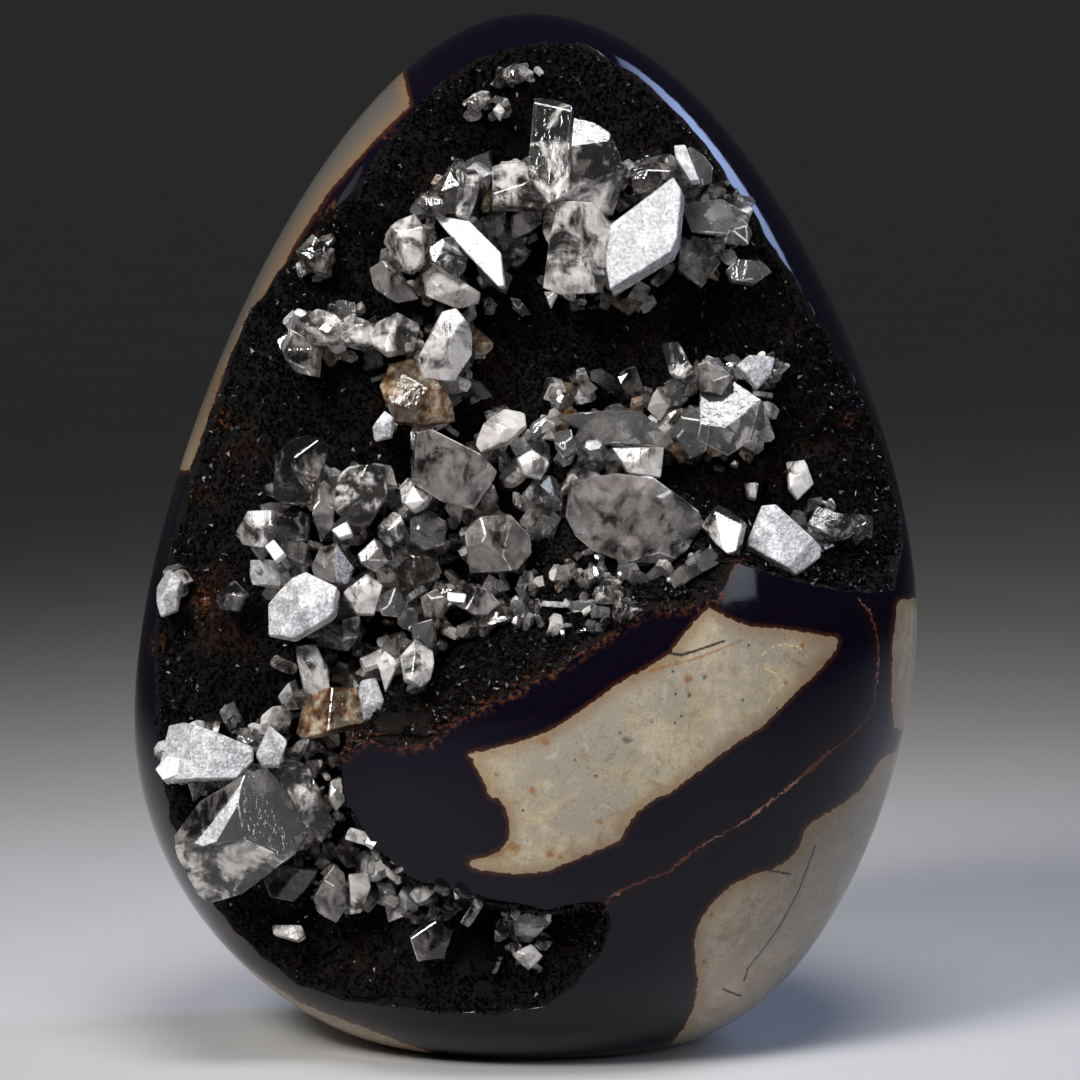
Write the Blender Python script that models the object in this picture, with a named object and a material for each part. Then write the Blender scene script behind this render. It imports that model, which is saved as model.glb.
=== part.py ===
# Septarian nodule: a polished stone egg whose open front is a hollow lined with crystals.
# Metres, +Z up. The hollow faces -Y and the flat base rests at the origin.

import math
import random

import bmesh
import bpy
import numpy as np
from mathutils import Vector, geometry, noise
from mathutils.bvhtree import BVHTree

# Driving dimensions of the stone, in metres
HEIGHT = 0.200
DEPTH_RATIO = 0.8
LEFT_SIDE = {
    "base": 0.0270, "base_pull": (0.0437, 0.0014),
    "widest": 0.0767, "widest_height": 0.0633,
    "pull_down": 0.0389, "pull_up": 0.0451, "crown": 0.0382,
}
RIGHT_SIDE = {
    "base": 0.0260, "base_pull": (0.0560, 0.0004),
    "widest": 0.0754, "widest_height": 0.0826,
    "pull_down": 0.0312, "pull_up": 0.0373, "crown": 0.0415,
}
HOLLOW_DEPTH = 0.036
WALL_RUN = 0.014
RIM_LIFT = 0.005
LUMP_SIZE = 0.030
LUMP_HEIGHT = 0.0035
WALL_GAP = 0.0003
CRUST_GAP = 0.0005
CRUST_DEPTH = 0.0022
CRUST_RELIEF = 0.0010
ROUGH_SIZE = 0.006
LINING_RIM = 0.0018
RIM_GAP = 0.0009
RIM_HALVINGS = 12
FRONT_LOW = 0.04
FRONT_HIGH = 0.985
OUTER_REACH = 0.11
OUTER_STRETCH = 1.1
SPINE_LOW = 0.045
SPINE_HIGH = 0.150
SPINE_BACK = 0.005

# How finely the surfaces are divided
STONE_TURNS = 36
STONE_RINGS = 20
HOLLOW_COLUMNS = 26
HOLLOW_ROWS = 34
HOLLOW_SWEEP = math.radians(88)
CURVE_STEPS = 40

# The outlines below are read from a picture of the front, as (across, down) in picture units.
# One unit is PICTURE_UNIT at the stone's middle, seen from VIEW_DISTANCE and VIEW_TILT above level.
PICTURE_UNIT = 0.0001941
PICTURE_MIDDLE = 540
VIEW_DISTANCE = 1.2
VIEW_TILT = math.radians(6)
VIEW_TARGET = Vector((0.0022, 0, 0.098))
TOWARD_EYE = Vector((0, -math.cos(VIEW_TILT), math.sin(VIEW_TILT)))
PICTURE_UP = Vector((0, math.sin(VIEW_TILT), math.cos(VIEW_TILT)))

# Edge of the hollow, clockwise from its top left: crown, right side, the stone tongue, lower left
HOLLOW_EDGE = (
    (393, 131), (432, 89), (470, 62), (505, 47), (545, 40), (582, 43), (634, 73),
    (696, 131), (750, 208), (800, 289), (850, 370), (881, 430), (900, 505), (903, 545),
    (894, 590), (853, 593), (815, 587), (770, 575), (736, 562), (726, 585), (710, 603),
    (682, 610), (649, 610), (603, 639), (560, 669), (504, 698), (443, 726), (433, 744),
    (402, 748), (364, 739), (341, 762), (346, 803), (374, 844), (410, 877), (458, 892),
    (504, 900), (550, 909), (606, 899), (612, 925), (600, 955), (575, 985), (545, 1005),
    (500, 1015), (450, 1012), (400, 1008), (344, 1000), (300, 985), (262, 958),
    (232, 930), (207, 893), (185, 855), (170, 815), (160, 770), (155, 720), (153, 660),
    (157, 600), (170, 540), (187, 480), (207, 420), (225, 370), (243, 320), (262, 295),
    (310, 228), (350, 195),
)

# Large crystals: outline, height of the middle above the floor, thickness, size of the front facet
LARGE_CRYSTALS = (
    (((536, 105), (574, 120), (608, 140), (620, 190), (590, 203), (545, 215), (530, 165)), 13, 9, 0.75),
    (((563, 205), (590, 203), (612, 225), (608, 290), (565, 297), (547, 290)), 15, 8, 0.6),
    (((609, 274), (616, 226), (675, 185), (684, 203), (677, 251), (614, 300)), 18, 7, 0.85),
    (((436, 218), (470, 224), (500, 249), (507, 286), (471, 260), (445, 233)), 15, 4, 0.8),
    (((492, 165), (525, 162), (546, 210), (495, 212)), 11, 7, 0.7),
    (((420, 210), (430, 180), (455, 166), (478, 180), (470, 215), (445, 222)), 10, 8, 0.7),
    (((385, 225), (405, 214), (426, 235), (420, 268), (395, 275)), 10, 7, 0.6),
    (((420, 250), (450, 235), (470, 265), (455, 305), (425, 295)), 12, 8, 0.7),
    (((665, 160), (690, 150), (708, 175), (698, 190), (672, 188)), 12, 6, 0.6),
    (((682, 215), (720, 203), (748, 230), (735, 250), (690, 248)), 10, 7, 0.8),
    (((725, 268), (750, 260), (768, 272), (755, 287), (730, 285)), 6, 5, 0.6),
    (((640, 255), (680, 240), (715, 262), (705, 290), (655, 290)), 9, 6, 0.6),
    (((365, 330), (395, 318), (425, 325), (418, 358), (375, 355)), 11, 6, 0.7),
    (((415, 330), (445, 308), (475, 330), (470, 385), (425, 390)), 12, 9, 0.6),
    (((375, 375), (415, 355), (460, 380), (450, 425), (395, 438)), 11, 10, 0.6),
    (((283, 345), (300, 318), (340, 310), (372, 325), (330, 350), (318, 380), (290, 372)), 8, 6, 0.6),
    (((409, 477), (418, 426), (444, 428), (474, 447), (488, 469), (472, 505), (431, 491)), 13, 9, 0.8),
    (((278, 480), (290, 445), (312, 436), (330, 465), (318, 505), (290, 502)), 10, 8, 0.6),
    (((336, 510), (345, 470), (375, 467), (387, 500), (375, 535), (345, 538)), 12, 8, 0.7),
    (((243, 530), (262, 508), (300, 512), (310, 540), (285, 563), (255, 555)), 11, 7, 0.7),
    (((268, 610), (295, 580), (330, 577), (345, 600), (325, 635), (280, 640)), 14, 9, 0.6),
    (((380, 660), (395, 610), (430, 600), (435, 650), (425, 690), (395, 690)), 12, 9, 0.6),
    (((566, 510), (600, 490), (680, 492), (705, 530), (660, 560), (590, 550)), 10, 7, 0.9),
    (((575, 425), (620, 395), (680, 400), (690, 450), (640, 475), (585, 460)), 9, 7, 0.8),
    (((660, 350), (680, 345), (697, 375), (685, 388), (668, 380)), 12, 6, 0.7),
    (((690, 385), (725, 375), (762, 405), (755, 450), (715, 458), (680, 430)), 9, 8, 0.6),
    (((735, 362), (760, 357), (775, 375), (755, 392), (740, 385)), 8, 6, 0.6),
    (((478, 430), (505, 410), (530, 402), (525, 435), (490, 452)), 10, 6, 0.7),
    (((515, 455), (545, 450), (550, 475), (522, 480)), 10, 6, 0.8),
    (((465, 535), (490, 510), (530, 518), (532, 555), (500, 570), (470, 560)), 10, 8, 0.6),
    (((704, 532), (731, 500), (756, 509), (744, 556), (731, 559)), 9, 7, 0.75),
    (((746, 549), (759, 512), (776, 513), (821, 553), (795, 578), (772, 576)), 11, 8, 0.8),
    (((785, 465), (805, 460), (812, 485), (795, 500)), 5, 5, 0.6),
    (((805, 520), (830, 507), (850, 525), (835, 545), (812, 540)), 6, 6, 0.6),
    (((160, 760), (175, 723), (230, 730), (262, 745), (240, 780), (190, 800)), 10, 8, 0.7),
    (((268, 768), (221, 784), (175, 840), (202, 899), (262, 879), (308, 838), (295, 799)), 16, 12, 0.7),
    (((255, 765), (275, 728), (315, 740), (330, 775), (290, 800)), 13, 9, 0.6),
    (((300, 710), (325, 690), (382, 690), (378, 735), (320, 740)), 12, 8, 0.7),
    (((302, 650), (312, 645), (322, 660), (320, 690), (305, 690)), 10, 5, 0.6),
    (((262, 880), (290, 868), (320, 885), (305, 905), (270, 903)), 7, 6, 0.6),
    (((312, 885), (340, 860), (370, 880), (355, 918), (320, 918)), 8, 7, 0.6),
    (((345, 760), (330, 800), (312, 790), (315, 755)), 6, 6, 0.6),
    (((440, 905), (470, 892), (500, 905), (485, 925), (450, 922)), 5, 5, 0.6),
    (((512, 920), (535, 910), (552, 922), (535, 938), (515, 936)), 5, 5, 0.6),
    (((512, 955), (530, 946), (542, 958), (528, 971)), 5, 5, 0.6),
    (((410, 935), (430, 915), (453, 930), (445, 958), (418, 961)), 5, 6, 0.7),
    (((272, 935), (290, 925), (308, 933), (296, 943)), 5, 4, 0.6),
    (((158, 590), (170, 570), (184, 582), (178, 612), (162, 618)), 6, 6, 0.6),
    (((218, 598), (235, 580), (250, 595), (240, 612), (222, 611)), 6, 5, 0.6),
    (((300, 255), (315, 236), (335, 250), (328, 275), (306, 272)), 4, 6, 0.6),
    (((497, 76), (515, 65), (534, 75), (518, 85)), 4, 4, 0.6),
)

# Patches of small crystals: middle, half width, half height, how many
SMALL_PATCHES = (
    ((470, 200), 55, 40, 4),
    ((590, 260), 60, 40, 4),
    ((700, 225), 45, 45, 4),
    ((400, 265), 35, 25, 2),
    ((330, 335), 45, 20, 3),
    ((560, 440), 80, 50, 6),
    ((700, 420), 50, 45, 4),
    ((420, 560), 70, 50, 6),
    ((530, 610), 75, 30, 5),
    ((350, 610), 40, 60, 4),
    ((330, 800), 25, 45, 4),
    ((330, 880), 60, 25, 3),
    ((230, 760), 45, 30, 3),
)
SMALL_CRYSTAL = (0.0022, 0.0042)
SMALL_SIDES = 5
MILLIMETRE = 0.001
CRYSTAL_ROOT = 0.0024
SKIN_MARGIN = 0.0006


def clear_scene():
    for thing in list(bpy.data.objects):
        bpy.data.objects.remove(thing, do_unlink=True)


def side_curve(side):
    """Heights and half widths of one side of the egg, from the base up to the crown."""
    widest = (side["widest"], side["widest_height"])
    lower = geometry.interpolate_bezier(
        (side["base"], 0), side["base_pull"],
        (widest[0], widest[1] - side["pull_down"]), widest, CURVE_STEPS)
    upper = geometry.interpolate_bezier(
        widest, (widest[0], widest[1] + side["pull_up"]),
        (side["crown"], HEIGHT), (0, HEIGHT), CURVE_STEPS)
    points = lower[:-1] + upper
    return np.array([p[1] for p in points]), np.array([p[0] for p in points])


LEFT_CURVE = side_curve(LEFT_SIDE)
RIGHT_CURVE = side_curve(RIGHT_SIDE)
MEAN_HEIGHTS = (LEFT_CURVE[0] + RIGHT_CURVE[0]) / 2
MEAN_STEPS = np.hypot(
    np.diff(MEAN_HEIGHTS),
    np.diff((np.interp(MEAN_HEIGHTS, *LEFT_CURVE) + np.interp(MEAN_HEIGHTS, *RIGHT_CURVE)) / 2))
MEAN_LENGTHS = np.concatenate([[0.0], np.cumsum(MEAN_STEPS)]) / np.sum(MEAN_STEPS)


def half_widths(height):
    """Left and right half width of the egg at a height."""
    return float(np.interp(height, *LEFT_CURVE)), float(np.interp(height, *RIGHT_CURVE))


def height_along(share):
    """Height of the point that lies this share of the way up the egg's side."""
    return float(np.interp(share, MEAN_LENGTHS, MEAN_HEIGHTS))


def skin_point(turn, height, inset=0.0):
    """Point on the egg's skin; a turn of 0 faces the front and a positive one goes right."""
    left, right = half_widths(height)
    across = (right if math.sin(turn) > 0 else left) - inset
    deep = DEPTH_RATIO * (left + right) / 2 - inset
    return Vector((across * math.sin(turn), -deep * math.cos(turn), height))


def picture_place(point):
    """Where a point of the stone is seen in the picture."""
    offset = point - VIEW_TARGET
    near = VIEW_DISTANCE - offset.dot(TOWARD_EYE)
    reach = VIEW_DISTANCE / (near * PICTURE_UNIT)
    return PICTURE_MIDDLE + offset.x * reach, PICTURE_MIDDLE - offset.dot(PICTURE_UP) * reach


def sight_line(place):
    """Eye and direction of the line of sight through a place in the picture."""
    eye = VIEW_TARGET + TOWARD_EYE * VIEW_DISTANCE
    aim = VIEW_TARGET + Vector(((place[0] - PICTURE_MIDDLE) * PICTURE_UNIT, 0, 0))
    aim += PICTURE_UP * ((PICTURE_MIDDLE - place[1]) * PICTURE_UNIT)
    return eye, (aim - eye).normalized()


def inside_distance(place, outline):
    """Distance from a place to an outline in metres, positive inside it."""
    corners = np.array(outline, dtype=float)
    ends = np.roll(corners, -1, axis=0)
    run = ends - corners
    offset = np.array(place) - corners
    share = np.clip((offset * run).sum(axis=1) / (run * run).sum(axis=1), 0, 1)
    gap = np.hypot(*(offset - run * share[:, None]).T).min()
    above = (corners[:, 1] > place[1]) != (ends[:, 1] > place[1])
    rise = np.where(above, run[:, 1], 1.0)
    crossing = corners[:, 0] + (place[1] - corners[:, 1]) * run[:, 0] / rise
    inside = np.count_nonzero(above & (place[0] < crossing)) % 2 == 1
    return gap * PICTURE_UNIT * (1 if inside else -1)


def hollow_depth(point):
    """Depth of the hollow's wall below the skin; negative outside the edge."""
    reach = inside_distance(picture_place(point), HOLLOW_EDGE)
    if reach < 0:
        return max(reach * HOLLOW_DEPTH / WALL_RUN, -RIM_LIFT)
    bowl = HOLLOW_DEPTH * (1 - math.exp(-reach / WALL_RUN))
    lump = LUMP_HEIGHT * noise.noise(point / LUMP_SIZE)
    return bowl + lump * min(1.0, reach / WALL_RUN)


def inward(point):
    """Direction from the skin towards the stone's inner spine."""
    height = min(max(point.z, SPINE_LOW), SPINE_HIGH)
    return (Vector((0, SPINE_BACK, height)) - point).normalized()


def new_object(name, bm):
    mesh = bpy.data.meshes.new(name)
    bm.to_mesh(mesh)
    bm.free()
    thing = bpy.data.objects.new(name, mesh)
    bpy.context.collection.objects.link(thing)
    return thing


def egg(name, inset=0.0):
    """The whole egg: its mean profile spun about the axis, then each ring drawn to its widths."""
    bm = bmesh.new()
    heights = [height_along(ring / STONE_RINGS) for ring in range(STONE_RINGS)]
    profile = [bm.verts.new((sum(half_widths(z)) / 2, 0, z)) for z in heights]
    profile.insert(0, bm.verts.new((0, 0, 0)))
    profile.append(bm.verts.new((0, 0, HEIGHT)))
    edges = [bm.edges.new(pair) for pair in zip(profile, profile[1:])]
    bmesh.ops.spin(
        bm, geom=profile + edges, cent=(0, 0, 0), axis=(0, 0, 1),
        angle=2 * math.pi, steps=STONE_TURNS, use_merge=True)
    bmesh.ops.remove_doubles(bm, verts=bm.verts, dist=0.00001)
    for vert in bm.verts:
        if math.hypot(vert.co.x, vert.co.y) > inset:
            turn = math.atan2(vert.co.x, -vert.co.y)
            vert.co = skin_point(turn, vert.co.z, inset)
    if inset:
        shrink = 1 - 2 * inset / HEIGHT
        bmesh.ops.scale(bm, verts=bm.verts, vec=(1, 1, shrink))
        bmesh.ops.translate(bm, verts=bm.verts, vec=(0, 0, inset))
    bmesh.ops.recalc_face_normals(bm, faces=bm.faces)
    return new_object(name, bm)


def skin_at(across, up):
    """Skin point for a grid place, where both values run from -1 to 1 over the front."""
    share = FRONT_LOW + (FRONT_HIGH - FRONT_LOW) * (up + 1) / 2
    return skin_point(across * HOLLOW_SWEEP, height_along(share))


def front_grid():
    """Grid over the front, in triangles, so that every sheet made from it folds alike."""
    bm = bmesh.new()
    bmesh.ops.create_grid(bm, x_segments=HOLLOW_COLUMNS, y_segments=HOLLOW_ROWS, size=1.0)
    bmesh.ops.triangulate(bm, faces=bm.faces, quad_method="FIXED")
    return bm


def hollow_sheet(shallower):
    """Grid that follows the hollow's wall, raised above it by a distance."""
    bm = front_grid()
    for vert in bm.verts:
        point = skin_at(vert.co.x, vert.co.y)
        vert.co = point + inward(point) * (hollow_depth(point) - shallower)
    return bm


def hollow_space(name, shallower):
    """Everything in front of the hollow's wall, as a closed body that reaches past the skin."""
    bm = hollow_sheet(shallower)
    block = bmesh.ops.extrude_face_region(bm, geom=bm.faces[:])["geom"]
    for vert in block:
        if isinstance(vert, bmesh.types.BMVert):
            aside = Vector((vert.co.x, vert.co.y, 0)).normalized()
            height = (vert.co.z - HEIGHT / 2) * OUTER_STRETCH + HEIGHT / 2
            vert.co = Vector((aside.x * OUTER_REACH, aside.y * OUTER_REACH, height))
    bmesh.ops.recalc_face_normals(bm, faces=bm.faces)
    return new_object(name, bm)


def rim_reach(place):
    """How far a grid place lies inside the lining's rim."""
    return inside_distance(picture_place(skin_at(*place)), HOLLOW_EDGE) - LINING_RIM


def rim_crossing(outer, inner):
    """Grid place on the lining's rim, between one outside it and one inside."""
    start, end = Vector(outer), Vector(inner)
    for _ in range(RIM_HALVINGS):
        middle = (start + end) / 2
        if rim_reach(middle) < 0:
            start = middle
        else:
            end = middle
    return end


def lining_grid():
    """The part of the front grid inside the hollow, with its border drawn onto the rim."""
    bm = front_grid()
    inside = {vert for vert in bm.verts if rim_reach(vert.co.xy) >= 0}
    moves = {}
    for vert in set(bm.verts) - inside:
        near = [edge.other_vert(vert) for edge in vert.link_edges]
        near += [corner for face in vert.link_faces for corner in face.verts if corner is not vert]
        near = [other for other in near if other in inside]
        if near:
            deepest = max(near, key=lambda other: rim_reach(other.co.xy))
            moves[vert] = rim_crossing(vert.co.xy, deepest.co.xy)
    kept = inside | set(moves)
    outer = [f for f in bm.faces if not (kept.issuperset(f.verts) and inside & set(f.verts))]
    bmesh.ops.delete(bm, geom=outer, context="FACES")
    for vert, place in moves.items():
        if vert.is_valid:
            vert.co.xy = place
    return bm


def lining(name, wall):
    """The hollow's lining: a crust over its wall, rough in front, that ends under the skin."""
    bm = lining_grid()
    rim = {vert.co.xy.freeze() for vert in bm.verts if vert.is_boundary}
    block = bmesh.ops.extrude_face_region(bm, geom=bm.faces[:])["geom"]
    back = {item for item in block if isinstance(item, bmesh.types.BMVert)}
    for vert in bm.verts:
        gap = RIM_GAP if vert.co.xy.freeze() in rim else CRUST_GAP
        point = skin_at(vert.co.x, vert.co.y)
        aim = inward(point)
        start = point - aim * 2 * RIM_LIFT
        depth = (wall.ray_cast(start, aim)[0] - point).dot(aim) - gap
        if vert not in back:
            rough = CRUST_RELIEF * noise.noise(point / ROUGH_SIZE)
            depth = max(depth - CRUST_DEPTH + rough, SKIN_MARGIN)
        vert.co = point + aim * depth
    bmesh.ops.recalc_face_normals(bm, faces=bm.faces)
    return new_object(name, bm)


def as_cutter(thing):
    thing.hide_render = True
    thing.display_type = "WIRE"
    return thing


def boolean(thing, operation, other, solver="EXACT"):
    """Cut or join with another body, or with a group of them."""
    step = thing.modifiers.new(operation.title(), "BOOLEAN")
    step.operation = operation
    step.solver = solver
    if isinstance(other, bpy.types.Collection):
        step.operand_type = "COLLECTION"
        step.collection = other
    else:
        step.object = other


def settle(thing):
    """Replace a body's modifiers by their result."""
    view = bpy.context.evaluated_depsgraph_get()
    result = bpy.data.meshes.new_from_object(thing.evaluated_get(view))
    thing.modifiers.clear()
    thing.data = result


def wall_tree(shallower):
    """The hollow's wall, raised by a distance, ready to be struck by a line of sight."""
    sheet = hollow_sheet(shallower)
    tree = BVHTree.FromBMesh(sheet)
    sheet.free()
    return tree


def floor_under(tree, place):
    eye, aim = sight_line(place)
    return tree.ray_cast(eye, aim)[0]


def ring_points(corners, middle, push, scale, shift):
    return [middle + (corner - middle) * scale + push + shift for corner in corners]


def crystal_body(bm, corners, layers):
    """Closed body through layers of one outline: each layer is (push, scale, sideways shift)."""
    middle = sum(corners, Vector()) / len(corners)
    ring = [bm.verts.new(p) for p in ring_points(corners, middle, *layers[0])]
    face = bm.faces.new(ring)
    for step, layer in enumerate(layers[1:]):
        below = face
        grown = bmesh.ops.extrude_face_region(bm, geom=[below])["geom"]
        face = next(item for item in grown if isinstance(item, bmesh.types.BMFace))
        if step > 0:
            bmesh.ops.delete(bm, geom=[below], context="FACES_ONLY")
        lifted = {vert.co.copy().freeze(): vert for vert in face.verts}
        ring = [lifted[vert.co.copy().freeze()] for vert in ring]
        for vert, target in zip(ring, ring_points(corners, middle, *layer)):
            vert.co = target


def large_crystal(bm, tree, outline, lift, thickness, facet, dice):
    place = tuple(sum(values) / len(outline) for values in zip(*outline))
    floor = floor_under(tree, place)
    if floor is None:
        return
    level = floor + TOWARD_EYE * lift * MILLIMETRE
    corners = []
    for corner in outline:
        eye, aim = sight_line(corner)
        corners.append(geometry.intersect_line_plane(eye, eye + aim, level, TOWARD_EYE))
    half = thickness * MILLIMETRE / 2
    side = Vector((dice.uniform(-1, 1), 0, dice.uniform(-1, 1))) * half * 0.25
    crystal_body(bm, corners, (
        (-TOWARD_EYE * (lift * MILLIMETRE + CRYSTAL_ROOT), 0.55, Vector()),
        (TOWARD_EYE * half * 0.1, 1.0, Vector()),
        (TOWARD_EYE * half, facet, side),
    ))


def small_crystal(bm, tree, place, dice):
    floor = floor_under(tree, place)
    if floor is None or inside_distance(place, HOLLOW_EDGE) < 0.003:
        return
    size = dice.uniform(*SMALL_CRYSTAL)
    spin = dice.uniform(0, math.tau)
    corners = []
    for index in range(SMALL_SIDES):
        angle = spin + index * math.tau / SMALL_SIDES
        across = Vector((math.cos(angle), 0, 0)) + PICTURE_UP * math.sin(angle)
        corners.append(floor + across * size * dice.uniform(0.75, 1.1))
    lean = Vector((dice.uniform(-1, 1), 0, dice.uniform(-1, 1))) * size * 0.6
    crystal_body(bm, corners, (
        (-TOWARD_EYE * CRYSTAL_ROOT, 0.9, Vector()),
        (TOWARD_EYE * size * dice.uniform(1.2, 2.6), 0.6, lean),
    ))


def crystals(name):
    """All crystals of the hollow, rooted in its lining, as one group of separate bodies."""
    dice = random.Random(7)
    tree = wall_tree(CRUST_DEPTH + CRUST_GAP)
    group = bpy.data.collections.new(name)
    bpy.context.scene.collection.children.link(group)
    for outline, lift, thickness, facet in LARGE_CRYSTALS:
        bm = bmesh.new()
        large_crystal(bm, tree, outline, lift, thickness, facet, dice)
        add_to_group(group, bm)
    for middle, half_width, half_height, count in SMALL_PATCHES:
        for _ in range(count):
            place = (middle[0] + half_width * dice.uniform(-1, 1),
                     middle[1] + half_height * dice.uniform(-1, 1))
            bm = bmesh.new()
            small_crystal(bm, tree, place, dice)
            add_to_group(group, bm)
    return group


def add_to_group(group, bm):
    """Put a crystal in the group, unless its place missed the hollow."""
    if not bm.faces:
        bm.free()
        return
    bmesh.ops.recalc_face_normals(bm, faces=bm.faces)
    bmesh.ops.triangulate(bm, faces=bm.faces)
    thing = new_object("crystal", bm)
    bpy.context.collection.objects.unlink(thing)
    group.objects.link(thing)


def finish(thing, colour, roughness, alpha=1.0):
    """One Principled material, and smooth shading across the gentle edges only."""
    material = bpy.data.materials.new(thing.name)
    material.use_nodes = True
    shader = material.node_tree.nodes["Principled BSDF"]
    shader.inputs["Base Color"].default_value = (*colour, 1.0)
    shader.inputs["Roughness"].default_value = roughness
    shader.inputs["Metallic"].default_value = 0.0
    shader.inputs["Alpha"].default_value = alpha
    thing.data.materials.clear()
    thing.data.materials.append(material)


def build():
    clear_scene()
    hollow = as_cutter(hollow_space("hollow_space", 0.0))
    nodule = egg("nodule")
    boolean(nodule, "DIFFERENCE", hollow)
    finish(nodule, (0.045, 0.032, 0.038), 0.12)

    # The crystals cross each other everywhere, which only the manifold solver joins cleanly
    trim = hollow_space("crystal_trim", CRUST_GAP + CRUST_DEPTH / 2)
    skin = egg("skin_trim", 2 * SKIN_MARGIN)
    group = crystals("grown_crystals")
    grown = group.objects[0]
    group.objects.unlink(grown)
    bpy.context.collection.objects.link(grown)
    boolean(grown, "UNION", group, "MANIFOLD")
    boolean(grown, "INTERSECT", trim, "MANIFOLD")
    boolean(grown, "INTERSECT", skin, "MANIFOLD")

    crust = lining("crystal_crust", wall_tree(0.0))
    boolean(crust, "UNION", grown, "MANIFOLD")
    clear = hollow_space("wall_clearance", WALL_GAP)
    boolean(crust, "INTERSECT", clear, "MANIFOLD")
    settle(crust)
    finish(crust, (0.62, 0.62, 0.64), 0.2)
    for helper in list(group.objects) + [grown, trim, skin, clear]:
        bpy.data.objects.remove(helper, do_unlink=True)


build()
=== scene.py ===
# %% [markdown]
# # A septarian nodule
# A septarian nodule is a ball of mudstone that cracked inside and healed with calcite.
# This one is ground to an egg and polished. Its open front is a hollow lined with dark
# crystals, and clear crystals grow from the lining. The stone and the crystals are made
# here around the fixed frame, which gives the size and the place of each part.

# %% Open the frame
import math
import random

import bmesh
import bpy
import numpy as np
from mathutils import Matrix, Vector, geometry, noise
from mathutils.bvhtree import BVHTree


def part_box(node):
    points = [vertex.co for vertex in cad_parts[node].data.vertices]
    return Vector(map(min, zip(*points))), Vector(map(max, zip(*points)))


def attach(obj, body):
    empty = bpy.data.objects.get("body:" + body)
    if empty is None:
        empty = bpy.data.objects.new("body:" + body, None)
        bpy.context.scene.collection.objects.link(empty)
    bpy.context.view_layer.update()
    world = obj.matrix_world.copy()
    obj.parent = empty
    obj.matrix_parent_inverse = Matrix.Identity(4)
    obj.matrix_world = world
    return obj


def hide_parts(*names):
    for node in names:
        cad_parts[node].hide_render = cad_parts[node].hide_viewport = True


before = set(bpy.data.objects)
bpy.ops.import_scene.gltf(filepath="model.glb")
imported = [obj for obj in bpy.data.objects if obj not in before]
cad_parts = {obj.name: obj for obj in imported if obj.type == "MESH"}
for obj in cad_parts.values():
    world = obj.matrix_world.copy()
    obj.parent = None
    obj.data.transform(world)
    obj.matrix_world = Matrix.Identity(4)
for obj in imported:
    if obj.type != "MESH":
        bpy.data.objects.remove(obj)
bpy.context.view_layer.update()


# %% [markdown]
# ## The shape of the egg
# The egg isn't quite even: its left side is fullest low down and its right side a little
# higher. Two Bezier curves, one for each side, hold that shape in a few numbers. The depth
# follows the mean of the two sides.

# %% The egg's sides
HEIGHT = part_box("nodule")[1].z
DEPTH_RATIO = 0.8
CURVE_STEPS = 40
LEFT_SIDE = {
    "base": 0.0270, "base_pull": (0.0437, 0.0014),
    "widest": 0.0767, "widest_height": 0.0633,
    "pull_down": 0.0389, "pull_up": 0.0451, "crown": 0.0382,
}
RIGHT_SIDE = {
    "base": 0.0260, "base_pull": (0.0560, 0.0004),
    "widest": 0.0754, "widest_height": 0.0826,
    "pull_down": 0.0312, "pull_up": 0.0373, "crown": 0.0415,
}


def side_curve(side):
    """Heights and half widths of one side of the egg, from the base up to the crown."""
    widest = (side["widest"], side["widest_height"])
    lower = geometry.interpolate_bezier(
        (side["base"], 0), side["base_pull"],
        (widest[0], widest[1] - side["pull_down"]), widest, CURVE_STEPS)
    upper = geometry.interpolate_bezier(
        widest, (widest[0], widest[1] + side["pull_up"]),
        (side["crown"], HEIGHT), (0, HEIGHT), CURVE_STEPS)
    points = lower[:-1] + upper
    return np.array([p[1] for p in points]), np.array([p[0] for p in points])


LEFT_CURVE = side_curve(LEFT_SIDE)
RIGHT_CURVE = side_curve(RIGHT_SIDE)
MEAN_HEIGHTS = (LEFT_CURVE[0] + RIGHT_CURVE[0]) / 2
MEAN_WIDTHS = (np.interp(MEAN_HEIGHTS, *LEFT_CURVE) + np.interp(MEAN_HEIGHTS, *RIGHT_CURVE)) / 2
MEAN_STEPS = np.hypot(np.diff(MEAN_HEIGHTS), np.diff(MEAN_WIDTHS))
MEAN_LENGTHS = np.concatenate([[0.0], np.cumsum(MEAN_STEPS)]) / np.sum(MEAN_STEPS)


def half_widths(heights, on_right):
    """Half width and half depth of the egg at each height."""
    left = np.interp(heights, *LEFT_CURVE)
    right = np.interp(heights, *RIGHT_CURVE)
    return np.where(on_right, right, left), DEPTH_RATIO * (left + right) / 2


def skin_points(turns, heights):
    """Points on the egg's skin; a turn of 0 faces the front and a positive one goes right."""
    across, deep = half_widths(heights, np.sin(turns) > 0)
    return np.stack([across * np.sin(turns), -deep * np.cos(turns), heights], axis=-1)


def skin_over(points):
    """The skin point outside each point, level with it."""
    heights = np.clip(points[:, 2], 0, HEIGHT * 0.9999)
    across, deep = half_widths(heights, points[:, 0] > 0)
    return skin_points(np.arctan2(points[:, 0] / across, -points[:, 1] / deep), heights)


print("height of the egg", round(HEIGHT, 4))

# %% [markdown]
# ## Places read from a picture of the front
# Outlines such as the hollow's edge are easiest to state as they are seen from the front.
# One picture unit is a fixed length at the stone's middle, and a line of sight through a
# place in the picture finds the point on the stone.

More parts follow.
